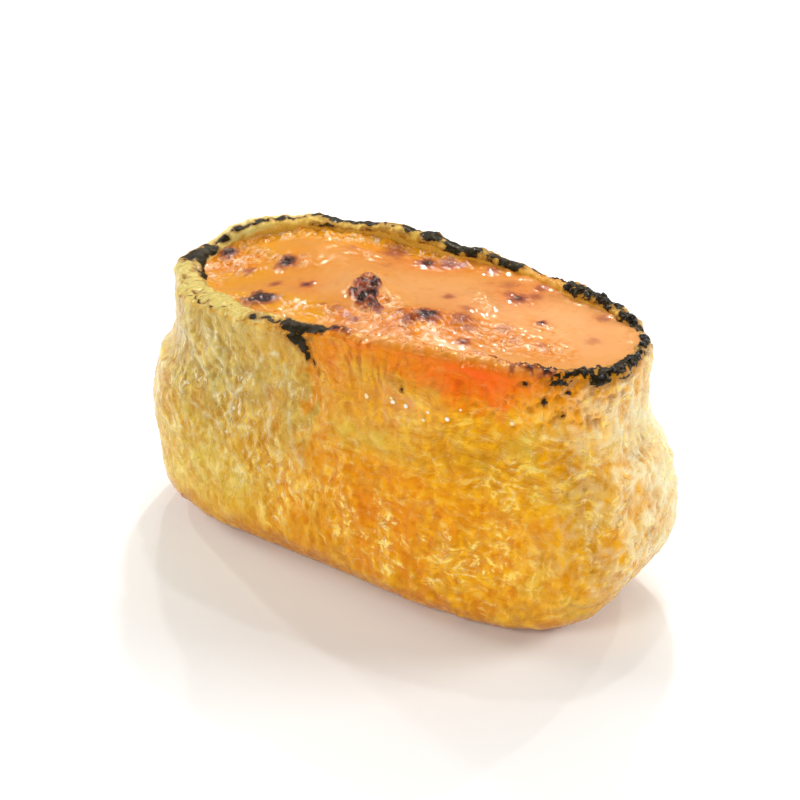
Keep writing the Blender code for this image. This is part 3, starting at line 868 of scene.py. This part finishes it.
def groupTree(name, inputs, outputs):
    tree = bpy.data.node_groups.new(name, "ShaderNodeTree")
    for label, value in inputs:
        tree.interface.new_socket(label, in_out="INPUT", socket_type="NodeSocketFloat").default_value = value
    for label in outputs:
        tree.interface.new_socket(label, in_out="OUTPUT", socket_type="NodeSocketFloat")
    return tree, addNode(tree, "NodeGroupInput", -900, 0), addNode(tree, "NodeGroupOutput", 700, 0)


def mapped(tree, source, fromLow, fromHigh, toLow, toHigh, x, y):
    node = addNode(tree, "ShaderNodeMapRange", x, y, interpolation_type="SMOOTHSTEP")
    for label, value in (("From Min", fromLow), ("From Max", fromHigh), ("To Min", toLow), ("To Max", toHigh)):
        node.inputs[label].default_value = value
    tree.links.new(source, node.inputs["Value"])
    return node.outputs["Result"]


def maths(tree, kind, first, second, x, y):
    node = addNode(tree, "ShaderNodeMath", x, y, operation=kind)
    for socket, value in zip(node.inputs, (first, second)):
        if isinstance(value, (int, float)):
            socket.default_value = value
        else:
            tree.links.new(value, socket)
    return node.outputs[0]


def fibresGroup():
    # fine fibres of a moist skin: pale flecks, thin pale crests, hollows, and a height for bumps
    inputs = [("Size", 800.0), ("Upright", 0.5), ("Line Width", 0.03)]
    tree, enter, leave = groupTree("fibres", inputs, ["Fleck", "Line", "Hollow", "Height"])
    coords = addNode(tree, "ShaderNodeTexCoord", -1500, -250)
    wander = addNode(tree, "ShaderNodeTexNoise", -1300, -450)
    wander.inputs["Scale"].default_value = 220.0
    wander.inputs["Detail"].default_value = 2.0
    tree.links.new(coords.outputs["Object"], wander.inputs["Vector"])
    centred = addNode(tree, "ShaderNodeVectorMath", -1150, -450, operation="SUBTRACT")
    centred.inputs[1].default_value = (0.5, 0.5, 0.5)
    tree.links.new(wander.outputs["Color"], centred.inputs[0])
    shift = addNode(tree, "ShaderNodeVectorMath", -1000, -450, operation="SCALE")
    shift.inputs["Scale"].default_value = 0.004
    tree.links.new(centred.outputs[0], shift.inputs[0])
    moved = addNode(tree, "ShaderNodeVectorMath", -850, -250, operation="ADD")
    tree.links.new(coords.outputs["Object"], moved.inputs[0])
    tree.links.new(shift.outputs[0], moved.inputs[1])
    finer = maths(tree, "MULTIPLY", enter.outputs["Size"], 0.62, -850, -600)

    def layer(stretch, size, detail, x, y):
        squeeze = addNode(tree, "ShaderNodeVectorMath", x, y, operation="MULTIPLY")
        squeeze.inputs[1].default_value = stretch
        tree.links.new(moved.outputs[0], squeeze.inputs[0])
        grain = addNode(tree, "ShaderNodeTexNoise", x + 150, y)
        grain.inputs["Detail"].default_value = detail
        grain.inputs["Roughness"].default_value = 0.68
        tree.links.new(size, grain.inputs["Scale"])
        tree.links.new(squeeze.outputs[0], grain.inputs["Vector"])
        return grain.outputs["Fac"]

    def blend(first, second, x, y):
        node = addNode(tree, "ShaderNodeMix", x, y)
        tree.links.new(enter.outputs["Upright"], node.inputs[0])
        tree.links.new(first, node.inputs[2])
        tree.links.new(second, node.inputs[3])
        return node.outputs[0]

    size = enter.outputs["Size"]
    field = blend(layer((0.45, 0.45, 1.1), size, 4.0, -600, 300), layer((1.1, 1.1, 0.42), size, 4.0, -600, 100), -250, 200)
    levelLine = layer((0.5, 0.5, 1.1), finer, 2.0, -600, -200)
    uprightLine = layer((1.1, 1.1, 0.45), finer, 2.0, -600, -400)
    lines = []
    for number, source in enumerate((levelLine, uprightLine)):
        offset = maths(tree, "SUBTRACT", source, 0.5, -250, -200 - 200 * number)
        away = maths(tree, "ABSOLUTE", offset, 0.0, -100, -200 - 200 * number)
        near = maths(tree, "DIVIDE", away, enter.outputs["Line Width"], 20, -200 - 200 * number)
        lines.append(mapped(tree, near, 0.0, 1.0, 1.0, 0.0, 150, -200 - 200 * number))
    nearFleck = mapped(tree, field, 0.42, 0.56, 0.0, 1.0, 100, -50)
    line = maths(tree, "MULTIPLY", blend(lines[0], lines[1], 320, -300), nearFleck, 420, -150)
    tree.links.new(mapped(tree, field, 0.525, 0.59, 0.0, 1.0, 100, 300), leave.inputs["Fleck"])
    tree.links.new(mapped(tree, field, 0.48, 0.38, 0.0, 1.0, 100, 100), leave.inputs["Hollow"])
    tree.links.new(line, leave.inputs["Line"])
    tree.links.new(maths(tree, "ADD", field, maths(tree, "MULTIPLY", line, 0.35, 420, -450), 550, -300), leave.inputs["Height"])
    return tree


def searEdgeGroup():
    # turns a smooth amount of burning into browned and blackened areas with ragged edges
    inputs = [("Amount", 0.0), ("Size", 1200.0), ("Ragged", 0.5), ("Softness", 0.15), ("Brown From", 0.12), ("Brown To", 0.4)]
    tree, enter, leave = groupTree("searEdge", inputs, ["Brown", "Black"])
    coords = addNode(tree, "ShaderNodeTexCoord", -900, -250)
    grain = addNode(tree, "ShaderNodeTexNoise", -600, -100)
    grain.inputs["Detail"].default_value = 6.0
    grain.inputs["Roughness"].default_value = 0.68
    tree.links.new(coords.outputs["Object"], grain.inputs["Vector"])
    tree.links.new(enter.outputs["Size"], grain.inputs["Scale"])
    centred = maths(tree, "SUBTRACT", grain.outputs["Fac"], 0.5, -400, -100)
    ragged = maths(tree, "MULTIPLY", centred, enter.outputs["Ragged"], -220, -100)
    burnt = maths(tree, "ADD", enter.outputs["Amount"], ragged, -50, 0)
    # nothing browns where nothing was burnt
    allowed = mapped(tree, enter.outputs["Amount"], 0.02, 0.16, 0.0, 1.0, -50, -250)
    span = maths(tree, "SUBTRACT", enter.outputs["Brown To"], enter.outputs["Brown From"], -50, 300)
    above = maths(tree, "SUBTRACT", burnt, enter.outputs["Brown From"], -50, 150)
    brown = mapped(tree, maths(tree, "DIVIDE", above, span, 50, 200), 0.0, 1.0, 0.0, 1.0, 150, 100)
    darker = maths(tree, "DIVIDE", maths(tree, "SUBTRACT", burnt, 0.48, -50, -450), enter.outputs["Softness"], 20, -450)
    black = mapped(tree, darker, 0.0, 1.0, 0.0, 1.0, 150, -100)
    tree.links.new(maths(tree, "MULTIPLY", brown, allowed, 400, 100), leave.inputs["Brown"])
    tree.links.new(maths(tree, "MULTIPLY", black, allowed, 400, -100), leave.inputs["Black"])
    return tree


fibres = fibresGroup()
searEdge = searEdgeGroup()


def mixColours(tree, first, second, factor, x, y):
    node = addNode(tree, "ShaderNodeMix", x, y, data_type="RGBA")
    for socket, value in ((node.inputs[6], first), (node.inputs[7], second)):
        if isinstance(value, tuple):
            socket.default_value = (*linear(value), 1.0)
        else:
            tree.links.new(value, socket)
    tree.links.new(factor, node.inputs[0])
    return node.outputs[2]


def foodMaterial(name, look):
    material = bpy.data.materials.new(name)
    material.use_nodes = True
    tree = material.node_tree
    tree.nodes.clear()
    out = addNode(tree, "ShaderNodeOutputMaterial", 1200, 0)
    shader = addNode(tree, "ShaderNodeBsdfPrincipled", 900, 0)
    tree.links.new(shader.outputs[0], out.inputs["Surface"])
    painted = {}
    for number, label in enumerate(("tint", "flecks", "net", "upright", "burn")):
        painted[label] = addNode(tree, "ShaderNodeAttribute", -1300, 400 - 200 * number, attribute_name=label)
    grain = addNode(tree, "ShaderNodeGroup", -1050, 50, node_tree=fibres)
    grain.inputs["Size"].default_value = look["grainSize"]
    grain.inputs["Line Width"].default_value = look["lineWidth"]
    tree.links.new(painted["upright"].outputs["Fac"], grain.inputs["Upright"])
    # the painted tint: darker in the hollows of the fine grain (painted shade), then pale flecks and thin pale lines
    # (partly painted highlight)
    deep = addNode(tree, "ShaderNodeVectorMath", -900, 400, operation="MULTIPLY")
    tree.links.new(painted["tint"].outputs["Color"], deep.inputs[0])
    deep.inputs[1].default_value = look["hollowTint"]
    hollow = maths(tree, "MULTIPLY", grain.outputs["Hollow"], look["hollowShare"], -800, 200)
    base = mixColours(tree, painted["tint"].outputs["Color"], deep.outputs[0], hollow, -650, 400)
    fleck = maths(tree, "MULTIPLY", grain.outputs["Fleck"], painted["flecks"].outputs["Fac"], -800, 50)
    fleck = maths(tree, "MULTIPLY", fleck, look["fleckShare"], -650, 50)
    base = mixColours(tree, base, look["fleckColour"], fleck, -480, 350)
    line = maths(tree, "MULTIPLY", grain.outputs["Line"], painted["net"].outputs["Fac"], -800, -100)
    line = maths(tree, "MULTIPLY", line, look["lineShare"], -650, -100)
    base = mixColours(tree, base, look["paleLineAndGlintColour"], line, -320, 300)
    lift = maths(tree, "MULTIPLY", painted["burn"].outputs["Fac"], 1.25, -700, -300)
    sear = addNode(tree, "ShaderNodeGroup", -500, -250, node_tree=searEdge)
    tree.links.new(lift, sear.inputs["Amount"])
    sear.inputs["Size"].default_value = look["searSize"]
    sear.inputs["Ragged"].default_value = look["searRagged"]
    sear.inputs["Softness"].default_value = look["searSoftness"]
    sear.inputs["Brown From"].default_value, sear.inputs["Brown To"].default_value = look["brownRange"]
    brown = maths(tree, "MULTIPLY", sear.outputs["Brown"], look["brownShare"], -250, 0)
    browned = mixColours(tree, base, look["brownColour"], brown, -50, 200)
    black = maths(tree, "MULTIPLY", sear.outputs["Black"], look["blackShare"], -50, -50)
    tree.links.new(mixColours(tree, browned, look["blackColour"], black, 200, 150), shader.inputs["Base Color"])
    rough = mapped(tree, sear.outputs["Brown"], 0.2, 1.0, look["roughness"], look["burntRoughness"], 200, -200)
    tree.links.new(rough, shader.inputs["Roughness"])
    relief = mapped(tree, painted["net"].outputs["Fac"], 0.0, 1.0, look["calmRelief"], 1.0, 100, -450)
    bump = addNode(tree, "ShaderNodeBump", 600, -400)
    bump.inputs["Strength"].default_value = look["bumpStrength"]
    bump.inputs["Distance"].default_value = look["bumpDepth"]
    tree.links.new(maths(tree, "MULTIPLY", grain.outputs["Height"], relief, 350, -400), bump.inputs["Height"])
    tree.links.new(bump.outputs["Normal"], shader.inputs["Normal"])
    for label, value in look["shader"].items():
        shader.inputs[label].default_value = value
    return material


skinLook = {
    "grainSize": 1050.0,
    "lineWidth": 0.045,
    # painted shade: the tint is darkened in the hollows of the fine grain
    "hollowTint": (0.83, 0.71, 0.42),
    "hollowShare": 0.95,
    "fleckColour": (255, 226, 112),
    "fleckShare": 0.90,
    # thin pale lines on the skin: paler crests with painted highlight
    "paleLineAndGlintColour": (254, 246, 214),
    "lineShare": 0.80,
    "searSize": 2000.0,
    "searRagged": 0.9,
    "brownRange": (0.12, 0.40),
    "searSoftness": 0.14,
    "brownColour": (140, 74, 8),
    "brownShare": 0.6,
    "blackColour": (10, 9, 9),
    "blackShare": 1.0,
    "roughness": 0.20,
    "burntRoughness": 0.45,
    "calmRelief": 0.6,
    "bumpStrength": 1.0,
    "bumpDepth": 0.0003,
    "shader": {
        "Subsurface Weight": 0.15,
        "Subsurface Radius": (1.0, 0.7, 0.25),
        "Subsurface Scale": 0.0004,
        "Specular IOR Level": 0.24,
        "Specular Tint": (1.0, 0.66, 0.14, 1.0),
        "Coat Weight": 0.055,
        "Coat Roughness": 0.04,
    },
}

sauceLook = {
    "grainSize": 700.0,
    "lineWidth": 0.035,
    # painted shade: darker in the hollows of the fine grain
    "hollowTint": (0.95, 0.72, 0.22),
    "hollowShare": 0.35,
    "fleckColour": (232, 146, 4),
    "fleckShare": 0.75,
    # painted highlight: the near-white thin lines on the wet sauce stand for its glints
    "paleLineAndGlintColour": (255, 240, 206),
    "lineShare": 0.9,
    "searSize": 1500.0,
    "searRagged": 0.35,
    "brownRange": (0.08, 0.52),
    "searSoftness": 0.40,
    "brownColour": (140, 60, 40),
    "brownShare": 0.8,
    "blackColour": (40, 20, 26),
    "blackShare": 0.95,
    "roughness": 0.18,
    "burntRoughness": 0.26,
    "calmRelief": 0.05,
    "bumpStrength": 0.8,
    "bumpDepth": 0.0004,
    "shader": {
        "Subsurface Weight": 0.20,
        "Subsurface Radius": (1.0, 0.8, 0.5),
        "Subsurface Scale": 0.0005,
        "Specular IOR Level": 0.24,
        "Specular Tint": (1.0, 0.80, 0.45, 1.0),
        "Coat Weight": 0.26,
        "Coat Roughness": 0.02,
    },
}

tofuSkin = foodMaterial("friedTofuSkin", skinLook)
creamySauce = foodMaterial("searedCreamySauce", sauceLook)


def finishPiece(name, mesh, material, node=None):
    piece = addObject(name, mesh)
    mesh.materials.clear()
    mesh.materials.append(material)
    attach(piece, "root")
    if node:
        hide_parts(node)
    return piece


pouchPiece = finishPiece("tofuPouch", pouchMesh, tofuSkin, "pouch")
saucePiece = finishPiece("searedSauce", sauceMesh, creamySauce, "filling")


print("sauce: the lap over the front of the lip")

lap = {
    "wallRows": 16,        # how many rows of the skin below the lip it may cover
    "innerRows": 7,
    "from": 125.5,
    "to": 157.0,
    "drop": 0.9,
    "tongues": [(146.5, 6.5, 0.7), (130.0, 3.0, 0.6), (137.0, 2.2, 0.5)],  # along, spread, extra drop
    "thickness": 0.30,
    "depth": 0.45,
    "shader": {
        "Subsurface Weight": 0.15,
        "Subsurface Radius": (1.0, 0.5, 0.2),
        "Subsurface Scale": 0.0004,
        "Specular IOR Level": 0.30,
        "Specular Tint": (1.0, 0.6, 0.2, 1.0),
        "Coat Weight": 0.12,
        "Coat Roughness": 0.04,
    },
}


def shellMesh(name, outer, inner, colours, masks):
    # two sheets of the same grid, joined round their edges
    rows, columns = outer.shape[:2]
    count = rows * columns
    r, c = np.meshgrid(np.arange(rows - 1), np.arange(columns - 1), indexing="ij")
    a = (r * columns + c).ravel()
    sheet = np.stack([a, a + 1, a + columns + 1, a + columns], -1)
    border = [(k, 0) for k in range(rows)] + [(rows - 1, k) for k in range(1, columns)]
    border += [(k, columns - 1) for k in range(rows - 2, -1, -1)] + [(0, k) for k in range(columns - 2, 0, -1)]
    loop = [k * columns + j for k, j in border]
    faces = sheet.tolist() + (sheet[:, ::-1] + count).tolist()
    for first, second in zip(loop, loop[1:] + loop[:1]):
        faces.append([first, second, second + count, first + count])
    mesh = bpy.data.meshes.new(name)
    points = np.concatenate([outer.reshape(-1, 3), inner.reshape(-1, 3)]) * mm
    mesh.from_pydata(points.tolist(), [], faces)
    paintMesh(mesh, np.tile(colours.reshape(-1, 3), (2, 1)), {k: np.tile(v.ravel(), 2) for k, v in masks.items()})
    return mesh


def buildLap():
    firstInner = 5 + pouch["footRows"] + pouch["wallRows"] + pouch["rimRows"] - 1
    firstRow = 5 + pouch["footRows"] + pouch["wallRows"] - lap["wallRows"]
    rows = slice(firstRow, firstInner + lap["innerRows"])
    columns = np.nonzero((along > lap["from"] - 1.5) & (along < lap["to"] + 1.5))[0]
    skin = pouchGrid[rows][:, columns]
    normal = pouchNormal[rows][:, columns]
    side = pouchSide[rows][:, None] + np.zeros(len(columns))
    here = along[columns] + np.zeros(skin.shape[:2])
    below = (lip[columns] - skin[..., 2]) * (side < 2.0)
    ragged = bumps(skin, 1.6, 81, octaves=2)
    drop = lap["drop"] + 0.7 * ragged
    for middle, spread, extra in lap["tongues"]:
        drop += extra * hump(here, middle, spread)
    ends = softStep(lap["from"] - 1.0, lap["from"] + 2.5, here + 1.2 * ragged)
    ends *= 1.0 - softStep(lap["to"] - 3.0, lap["to"] + 0.5, here + 1.2 * ragged)
    cover = ends * (1.0 - softStep(drop - 0.5, drop + 0.35, below))
    bubbly = 0.5 * ridges(skin, 1.3, 83) + 0.5 * ridges(skin, 0.7, 85)
    smoothPart = hump(here, 146.5, 6.0) * (side < 1.3)
    lifted = -0.35 + (0.35 + lap["thickness"] * softStep(1.0, 1.5, side + 0.1 * smoothPart) + 0.05) * np.sqrt(cover) + 0.30 * cover * (bubbly - 0.3) * (1.0 - 0.9 * smoothPart)
    outer = skin + normal * lifted[..., None]
    inner = skin - normal * lap["depth"]
    tint = np.zeros(skin.shape) + linear(sauceColours["peach"])
    tint = mixIn(tint, sauceColours["pale"], 0.8 * softStep(1.1, 1.6, side) * softStep(-0.2, 0.3, ragged))
    tint = mixIn(tint, sauceColours["amber"], 0.55 * softStep(0.45, 0.15, bubbly) + 0.0 * ragged)
    tint = mixIn(tint, skinColours["lipOrange"], 0.85 * (1.0 - softStep(1.0, 1.45, side)))
    tint = mixIn(tint, skinColours["redOrange"], 0.9 * smoothPart * (1.0 - softStep(1.0, 1.4, side)))
    strands = softStep(0.0, 0.5, bumps(skin, 1.2, 49, stretch=(0.6, 0.6, 3.5), octaves=2))
    strands *= (1.0 - softStep(1.1, 1.5, side)) * (1.0 - smoothPart)
    tint = mixIn(tint, skinColours["strand"], 0.65 * strands)
    fade = softStep(drop - 1.6, drop + 0.2, below) * (side <= 1.0)
    tint = mixIn(tint, skinColours["lipOrange"], 0.8 * fade * (1.0 - smoothPart))
    burn = burntLip(skin, here, side, lip[columns] - skin[..., 2])
    foam = softStep(1.25, 1.6, side) * cover
    masks = {
        "burn": 0.8 * burn,
        "flecks": 0.7 * foam,
        "net": foam * bubbly,
        "upright": 0.5 * cover,
        "beads": foam * (side < 3.0) * softStep(-0.2, 0.3, ragged),
    }
    # columns run with the outline, rows run up the wall: the sheet faces outwards
    return shellMesh("sauceLap", outer, inner, tint, masks)


lapMesh = buildLap()
runnySauce = foodMaterial("runnySauce", {**sauceLook, "shader": lap["shader"], "lineShare": 0.5})
lapPiece = finishPiece("sauceLap", lapMesh, runnySauce)


print("char and beads: scattered with geometry nodes")


def link(tree, source, target):
    tree.links.new(source, target)


def scatterTree(name, maskName, material):
    # small rounded grains on a surface, as dense as a mask says
    tree = bpy.data.node_groups.new(name, "GeometryNodeTree")
    face = tree.interface
    face.new_socket("Geometry", in_out="INPUT", socket_type="NodeSocketGeometry")
    for label in ("Density", "Smallest", "Largest", "Height", "Roughness"):
        face.new_socket(label, in_out="INPUT", socket_type="NodeSocketFloat")
    face.new_socket("Seed", in_out="INPUT", socket_type="NodeSocketInt")
    face.new_socket("Geometry", in_out="OUTPUT", socket_type="NodeSocketGeometry")
    enter = addNode(tree, "NodeGroupInput", -1000, 0)
    leave = addNode(tree, "NodeGroupOutput", 1200, 0)
    mask = addNode(tree, "GeometryNodeInputNamedAttribute", -1000, -300, data_type="FLOAT")
    mask.inputs["Name"].default_value = maskName
    dense = maths(tree, "MULTIPLY", mask.outputs["Attribute"], enter.outputs["Density"], -750, -200)
    points = addNode(tree, "GeometryNodeDistributePointsOnFaces", -500, 0, distribute_method="RANDOM")
    link(tree, enter.outputs["Geometry"], points.inputs["Mesh"])
    link(tree, dense, points.inputs["Density"])
    link(tree, enter.outputs["Seed"], points.inputs["Seed"])
    grain = addNode(tree, "GeometryNodeMeshUVSphere", -750, -500)
    grain.inputs["Radius"].default_value = 1.0
    grain.inputs["Segments"].default_value = 8
    grain.inputs["Rings"].default_value = 5
    uneven = addNode(tree, "ShaderNodeTexNoise", -750, -750)
    uneven.inputs["Scale"].default_value = 1.6
    centred = addNode(tree, "ShaderNodeVectorMath", -550, -750, operation="SUBTRACT")
    centred.inputs[1].default_value = (0.5, 0.5, 0.5)
    link(tree, uneven.outputs["Color"], centred.inputs[0])
    pushed = addNode(tree, "ShaderNodeVectorMath", -380, -750, operation="SCALE")
    link(tree, centred.outputs[0], pushed.inputs[0])
    link(tree, enter.outputs["Roughness"], pushed.inputs["Scale"])
    shaped = addNode(tree, "GeometryNodeSetPosition", -300, -500)
    link(tree, grain.outputs["Mesh"], shaped.inputs["Geometry"])
    link(tree, pushed.outputs[0], shaped.inputs["Offset"])
    size = addNode(tree, "FunctionNodeRandomValue", -500, -250, data_type="FLOAT")
    link(tree, enter.outputs["Smallest"], size.inputs[2])
    link(tree, enter.outputs["Largest"], size.inputs[3])
    link(tree, enter.outputs["Seed"], size.inputs["Seed"])
    tall = maths(tree, "MULTIPLY", size.outputs[1], enter.outputs["Height"], -250, -300)
    scale = addNode(tree, "ShaderNodeCombineXYZ", -80, -250)
    link(tree, size.outputs[1], scale.inputs["X"])
    link(tree, size.outputs[1], scale.inputs["Y"])
    link(tree, tall, scale.inputs["Z"])
    turn = addNode(tree, "FunctionNodeRandomValue", -300, -1000, data_type="FLOAT")
    turn.inputs[3].default_value = 2.0 * math.pi
    spin = addNode(tree, "ShaderNodeCombineXYZ", -120, -1000)
    link(tree, turn.outputs[1], spin.inputs["Z"])
    facing = addNode(tree, "FunctionNodeRotateRotation", 60, -600, rotation_space="LOCAL")
    link(tree, points.outputs["Rotation"], facing.inputs[0])
    link(tree, spin.outputs[0], facing.inputs[1])
    copies = addNode(tree, "GeometryNodeInstanceOnPoints", 250, 0)
    link(tree, points.outputs["Points"], copies.inputs["Points"])
    link(tree, shaped.outputs[0], copies.inputs["Instance"])
    link(tree, facing.outputs[0], copies.inputs["Rotation"])
    link(tree, scale.outputs[0], copies.inputs["Scale"])
    smooth = addNode(tree, "GeometryNodeSetShadeSmooth", 500, 0)
    link(tree, copies.outputs[0], smooth.inputs["Geometry"])
    real = addNode(tree, "GeometryNodeRealizeInstances", 700, 0)
    link(tree, smooth.outputs[0], real.inputs[0])
    coat = addNode(tree, "GeometryNodeSetMaterial", 950, 0)
    coat.inputs["Material"].default_value = material
    link(tree, real.outputs[0], coat.inputs["Geometry"])
    link(tree, coat.outputs[0], leave.inputs["Geometry"])
    return tree


def scatter(name, bed, tree, settings):
    source = addObject(name + "Bed", bed.copy())
    modifier = source.modifiers.new("scatter", "NODES")
    modifier.node_group = tree
    sockets = {s.name: s.identifier for s in tree.interface.items_tree if s.in_out == "INPUT"}
    for label, value in settings.items():
        modifier[sockets[label]] = value
    shown = source.evaluated_get(bpy.context.evaluated_depsgraph_get())
    mesh = bpy.data.meshes.new_from_object(shown)
    source.modifiers.remove(modifier)
    bpy.data.objects.remove(source)
    print(name, len(mesh.polygons), "faces")
    return mesh


def crustMaterial():
    material = bpy.data.materials.new("charredCrust")
    material.use_nodes = True
    tree = material.node_tree
    shader = tree.nodes["Principled BSDF"]
    grain = addNode(tree, "ShaderNodeGroup", -700, 0, node_tree=fibres)
    grain.inputs["Size"].default_value = 2400.0
    crest = mapped(tree, grain.outputs["Fleck"], 0.0, 1.0, 0.0, 0.45, -450, 0)
    colour = mixColours(tree, (20, 18, 18), (112, 66, 24), crest, -200, 100)
    link(tree, colour, shader.inputs["Base Color"])
    bump = addNode(tree, "ShaderNodeBump", -200, -300)
    bump.inputs["Strength"].default_value = 0.8
    bump.inputs["Distance"].default_value = 0.0001
    link(tree, grain.outputs["Height"], bump.inputs["Height"])
    link(tree, bump.outputs["Normal"], shader.inputs["Normal"])
    shader.inputs["Roughness"].default_value = 0.34
    shader.inputs["Coat Weight"].default_value = 0.25
    shader.inputs["Coat Roughness"].default_value = 0.1
    return material


def beadMaterial(name, deep, light):
    material = bpy.data.materials.new(name)
    material.use_nodes = True
    tree = material.node_tree
    shader = tree.nodes["Principled BSDF"]
    grain = addNode(tree, "ShaderNodeGroup", -700, 0, node_tree=fibres)
    grain.inputs["Size"].default_value = 500.0
    crest = mapped(tree, grain.outputs["Fleck"], 0.0, 1.0, 0.0, 0.8, -450, 0)
    link(tree, mixColours(tree, deep, light, crest, -200, 100), shader.inputs["Base Color"])
    shader.inputs["Roughness"].default_value = 0.10
    shader.inputs["Coat Weight"].default_value = 0.8
    shader.inputs["Coat Roughness"].default_value = 0.03
    shader.inputs["Subsurface Weight"].default_value = 0.3
    shader.inputs["Subsurface Radius"].default_value = (1.0, 0.6, 0.3)
    shader.inputs["Subsurface Scale"].default_value = 0.0005
    return material


crumbs = {"Density": 4.5e6, "Smallest": 0.00008, "Largest": 0.00026, "Height": 0.6, "Roughness": 1.8, "Seed": 4}
beads = {"Density": 1.8e6, "Smallest": 0.00008, "Largest": 0.00028, "Height": 0.5, "Roughness": 0.25, "Seed": 9}

foam = {"Density": 4.0e6, "Smallest": 0.00008, "Largest": 0.00024, "Height": 0.7, "Roughness": 0.25, "Seed": 5}

skinBeads = {"Density": 0.85e6, "Smallest": 0.00016, "Largest": 0.00048, "Height": 0.45, "Roughness": 0.3, "Seed": 2}

charredCrust = crustMaterial()
oilBeads = beadMaterial("oilBeads", (236, 134, 14), (250, 186, 96))
# painted highlight: the droplets on the skin are coloured near white so that they show as white glints
glintWhiteBeads = beadMaterial("glintWhiteBeads", (250, 214, 150), (255, 252, 244))
crumbMesh = scatter("charCrumbs", pouchMesh, scatterTree("charCrumbs", "crust", charredCrust), crumbs)
finishPiece("charCrumbs", crumbMesh, charredCrust)
beadMesh = scatter("oilBeads", sauceMesh, scatterTree("oilBeads", "beads", oilBeads), beads)
finishPiece("oilBeads", beadMesh, oilBeads)
skinBeadMesh = scatter("skinBeads", pouchMesh, scatterTree("skinBeads", "beads", glintWhiteBeads), skinBeads)
finishPiece("skinBeads", skinBeadMesh, glintWhiteBeads)
foamMesh = scatter("edgeBeads", lapMesh, scatterTree("edgeBeads", "beads", oilBeads), foam)
finishPiece("edgeBeads", foamMesh, oilBeads)


print("studio: floor, lights and camera")

studio = {
    "floorSize": 4.0,
    "floorColour": (0.90, 0.90, 0.89),
    "worldColour": (1.0, 1.0, 1.0),
    "worldStrength": 0.22,
    # name, azimuth, elevation, distance, size, power
    "lamps": [
        ("topSoftbox", 200.0, 58.0, 0.55, 0.26, 0.62),
        ("frontFill", 0.0, 38.0, 0.70, 0.20, 1.4),
        ("lowGlint", 18.0, 14.0, 0.60, 0.05, 0.8),
        ("backGlint", 205.0, 50.0, 0.60, 0.03, 0.9),
        ("sideGlint", 252.0, 34.0, 0.60, 0.02, 0.4),
        ("highGlint", 190.0, 74.0, 0.60, 0.02, 0.3),
        ("farGlint", 172.0, 36.0, 0.60, 0.015, 0.35),
        ("leftGlint", 222.0, 40.0, 0.60, 0.02, 0.5),
        ("leftStrip", -80.0, 25.0, 0.60, 0.22, 1.45),
        ("rightStrip", 128.0, 25.0, 0.60, 0.22, 2.1),
    ],
}

cameraView = {
    "azimuth": 35.2,
    "elevation": 30.8,
    "roll": -0.74,
    "distance": 0.266,
    "lens": 94.1,
    "target": (0.0013, 0.0, 0.02045),
}


def directionFrom(azimuth, elevation):
    a, e = math.radians(azimuth), math.radians(elevation)
    return Vector((math.sin(a) * math.cos(e), -math.cos(a) * math.cos(e), math.sin(e)))


def buildStudio():
    scene = bpy.context.scene
    scene.view_settings.view_transform = "Standard"
    world = bpy.data.worlds.new("softRoom")
    world.use_nodes = True
    background = world.node_tree.nodes["Background"]
    background.inputs["Color"].default_value = (*studio["worldColour"], 1.0)
    background.inputs["Strength"].default_value = studio["worldStrength"]
    scene.world = world
    half = studio["floorSize"] / 2
    mesh = bpy.data.meshes.new("floor")
    mesh.from_pydata([(-half, -half, 0), (half, -half, 0), (half, half, 0), (-half, half, 0)], [], [(0, 1, 2, 3)])
    floor = addObject("floor", mesh)
    paint = bpy.data.materials.new("paleFloor")
    paint.use_nodes = True
    shader = paint.node_tree.nodes["Principled BSDF"]
    shader.inputs["Base Color"].default_value = (*studio["floorColour"], 1.0)
    shader.inputs["Roughness"].default_value = 0.9
    mesh.materials.append(paint)
    for name, azimuth, elevation, distance, size, power in studio["lamps"]:
        data = bpy.data.lights.new(name, "AREA")
        data.shape = "SQUARE"
        data.size = size
        data.energy = power
        lamp = bpy.data.objects.new(name, data)
        scene.collection.objects.link(lamp)
        back = directionFrom(azimuth, elevation)
        lamp.location = back * distance + Vector((0, 0, 0.02))
        lamp.rotation_mode = "QUATERNION"
        lamp.rotation_quaternion = back.to_track_quat("Z", "Y")


def buildCamera():
    back = directionFrom(cameraView["azimuth"], cameraView["elevation"])
    a = math.radians(cameraView["azimuth"])
    right = Vector((math.cos(a), math.sin(a), 0.0))
    up = back.cross(right)
    roll = math.radians(cameraView["roll"])
    side = right * math.cos(roll) + up * math.sin(roll)
    top = up * math.cos(roll) - right * math.sin(roll)
    turn = Matrix((side, top, back)).transposed()
    camera = bpy.data.objects.new("camera", bpy.data.cameras.new("camera"))
    bpy.context.scene.collection.objects.link(camera)
    camera.data.lens = cameraView["lens"]
    camera.data.sensor_width = 36.0
    camera.data.clip_start = 0.01
    camera.data.clip_end = 20.0
    place4 = turn.to_4x4()
    place4.translation = Vector(cameraView["target"]) + back * cameraView["distance"]
    camera.matrix_world = place4
    bpy.context.scene.camera = camera


buildStudio()
buildCamera()
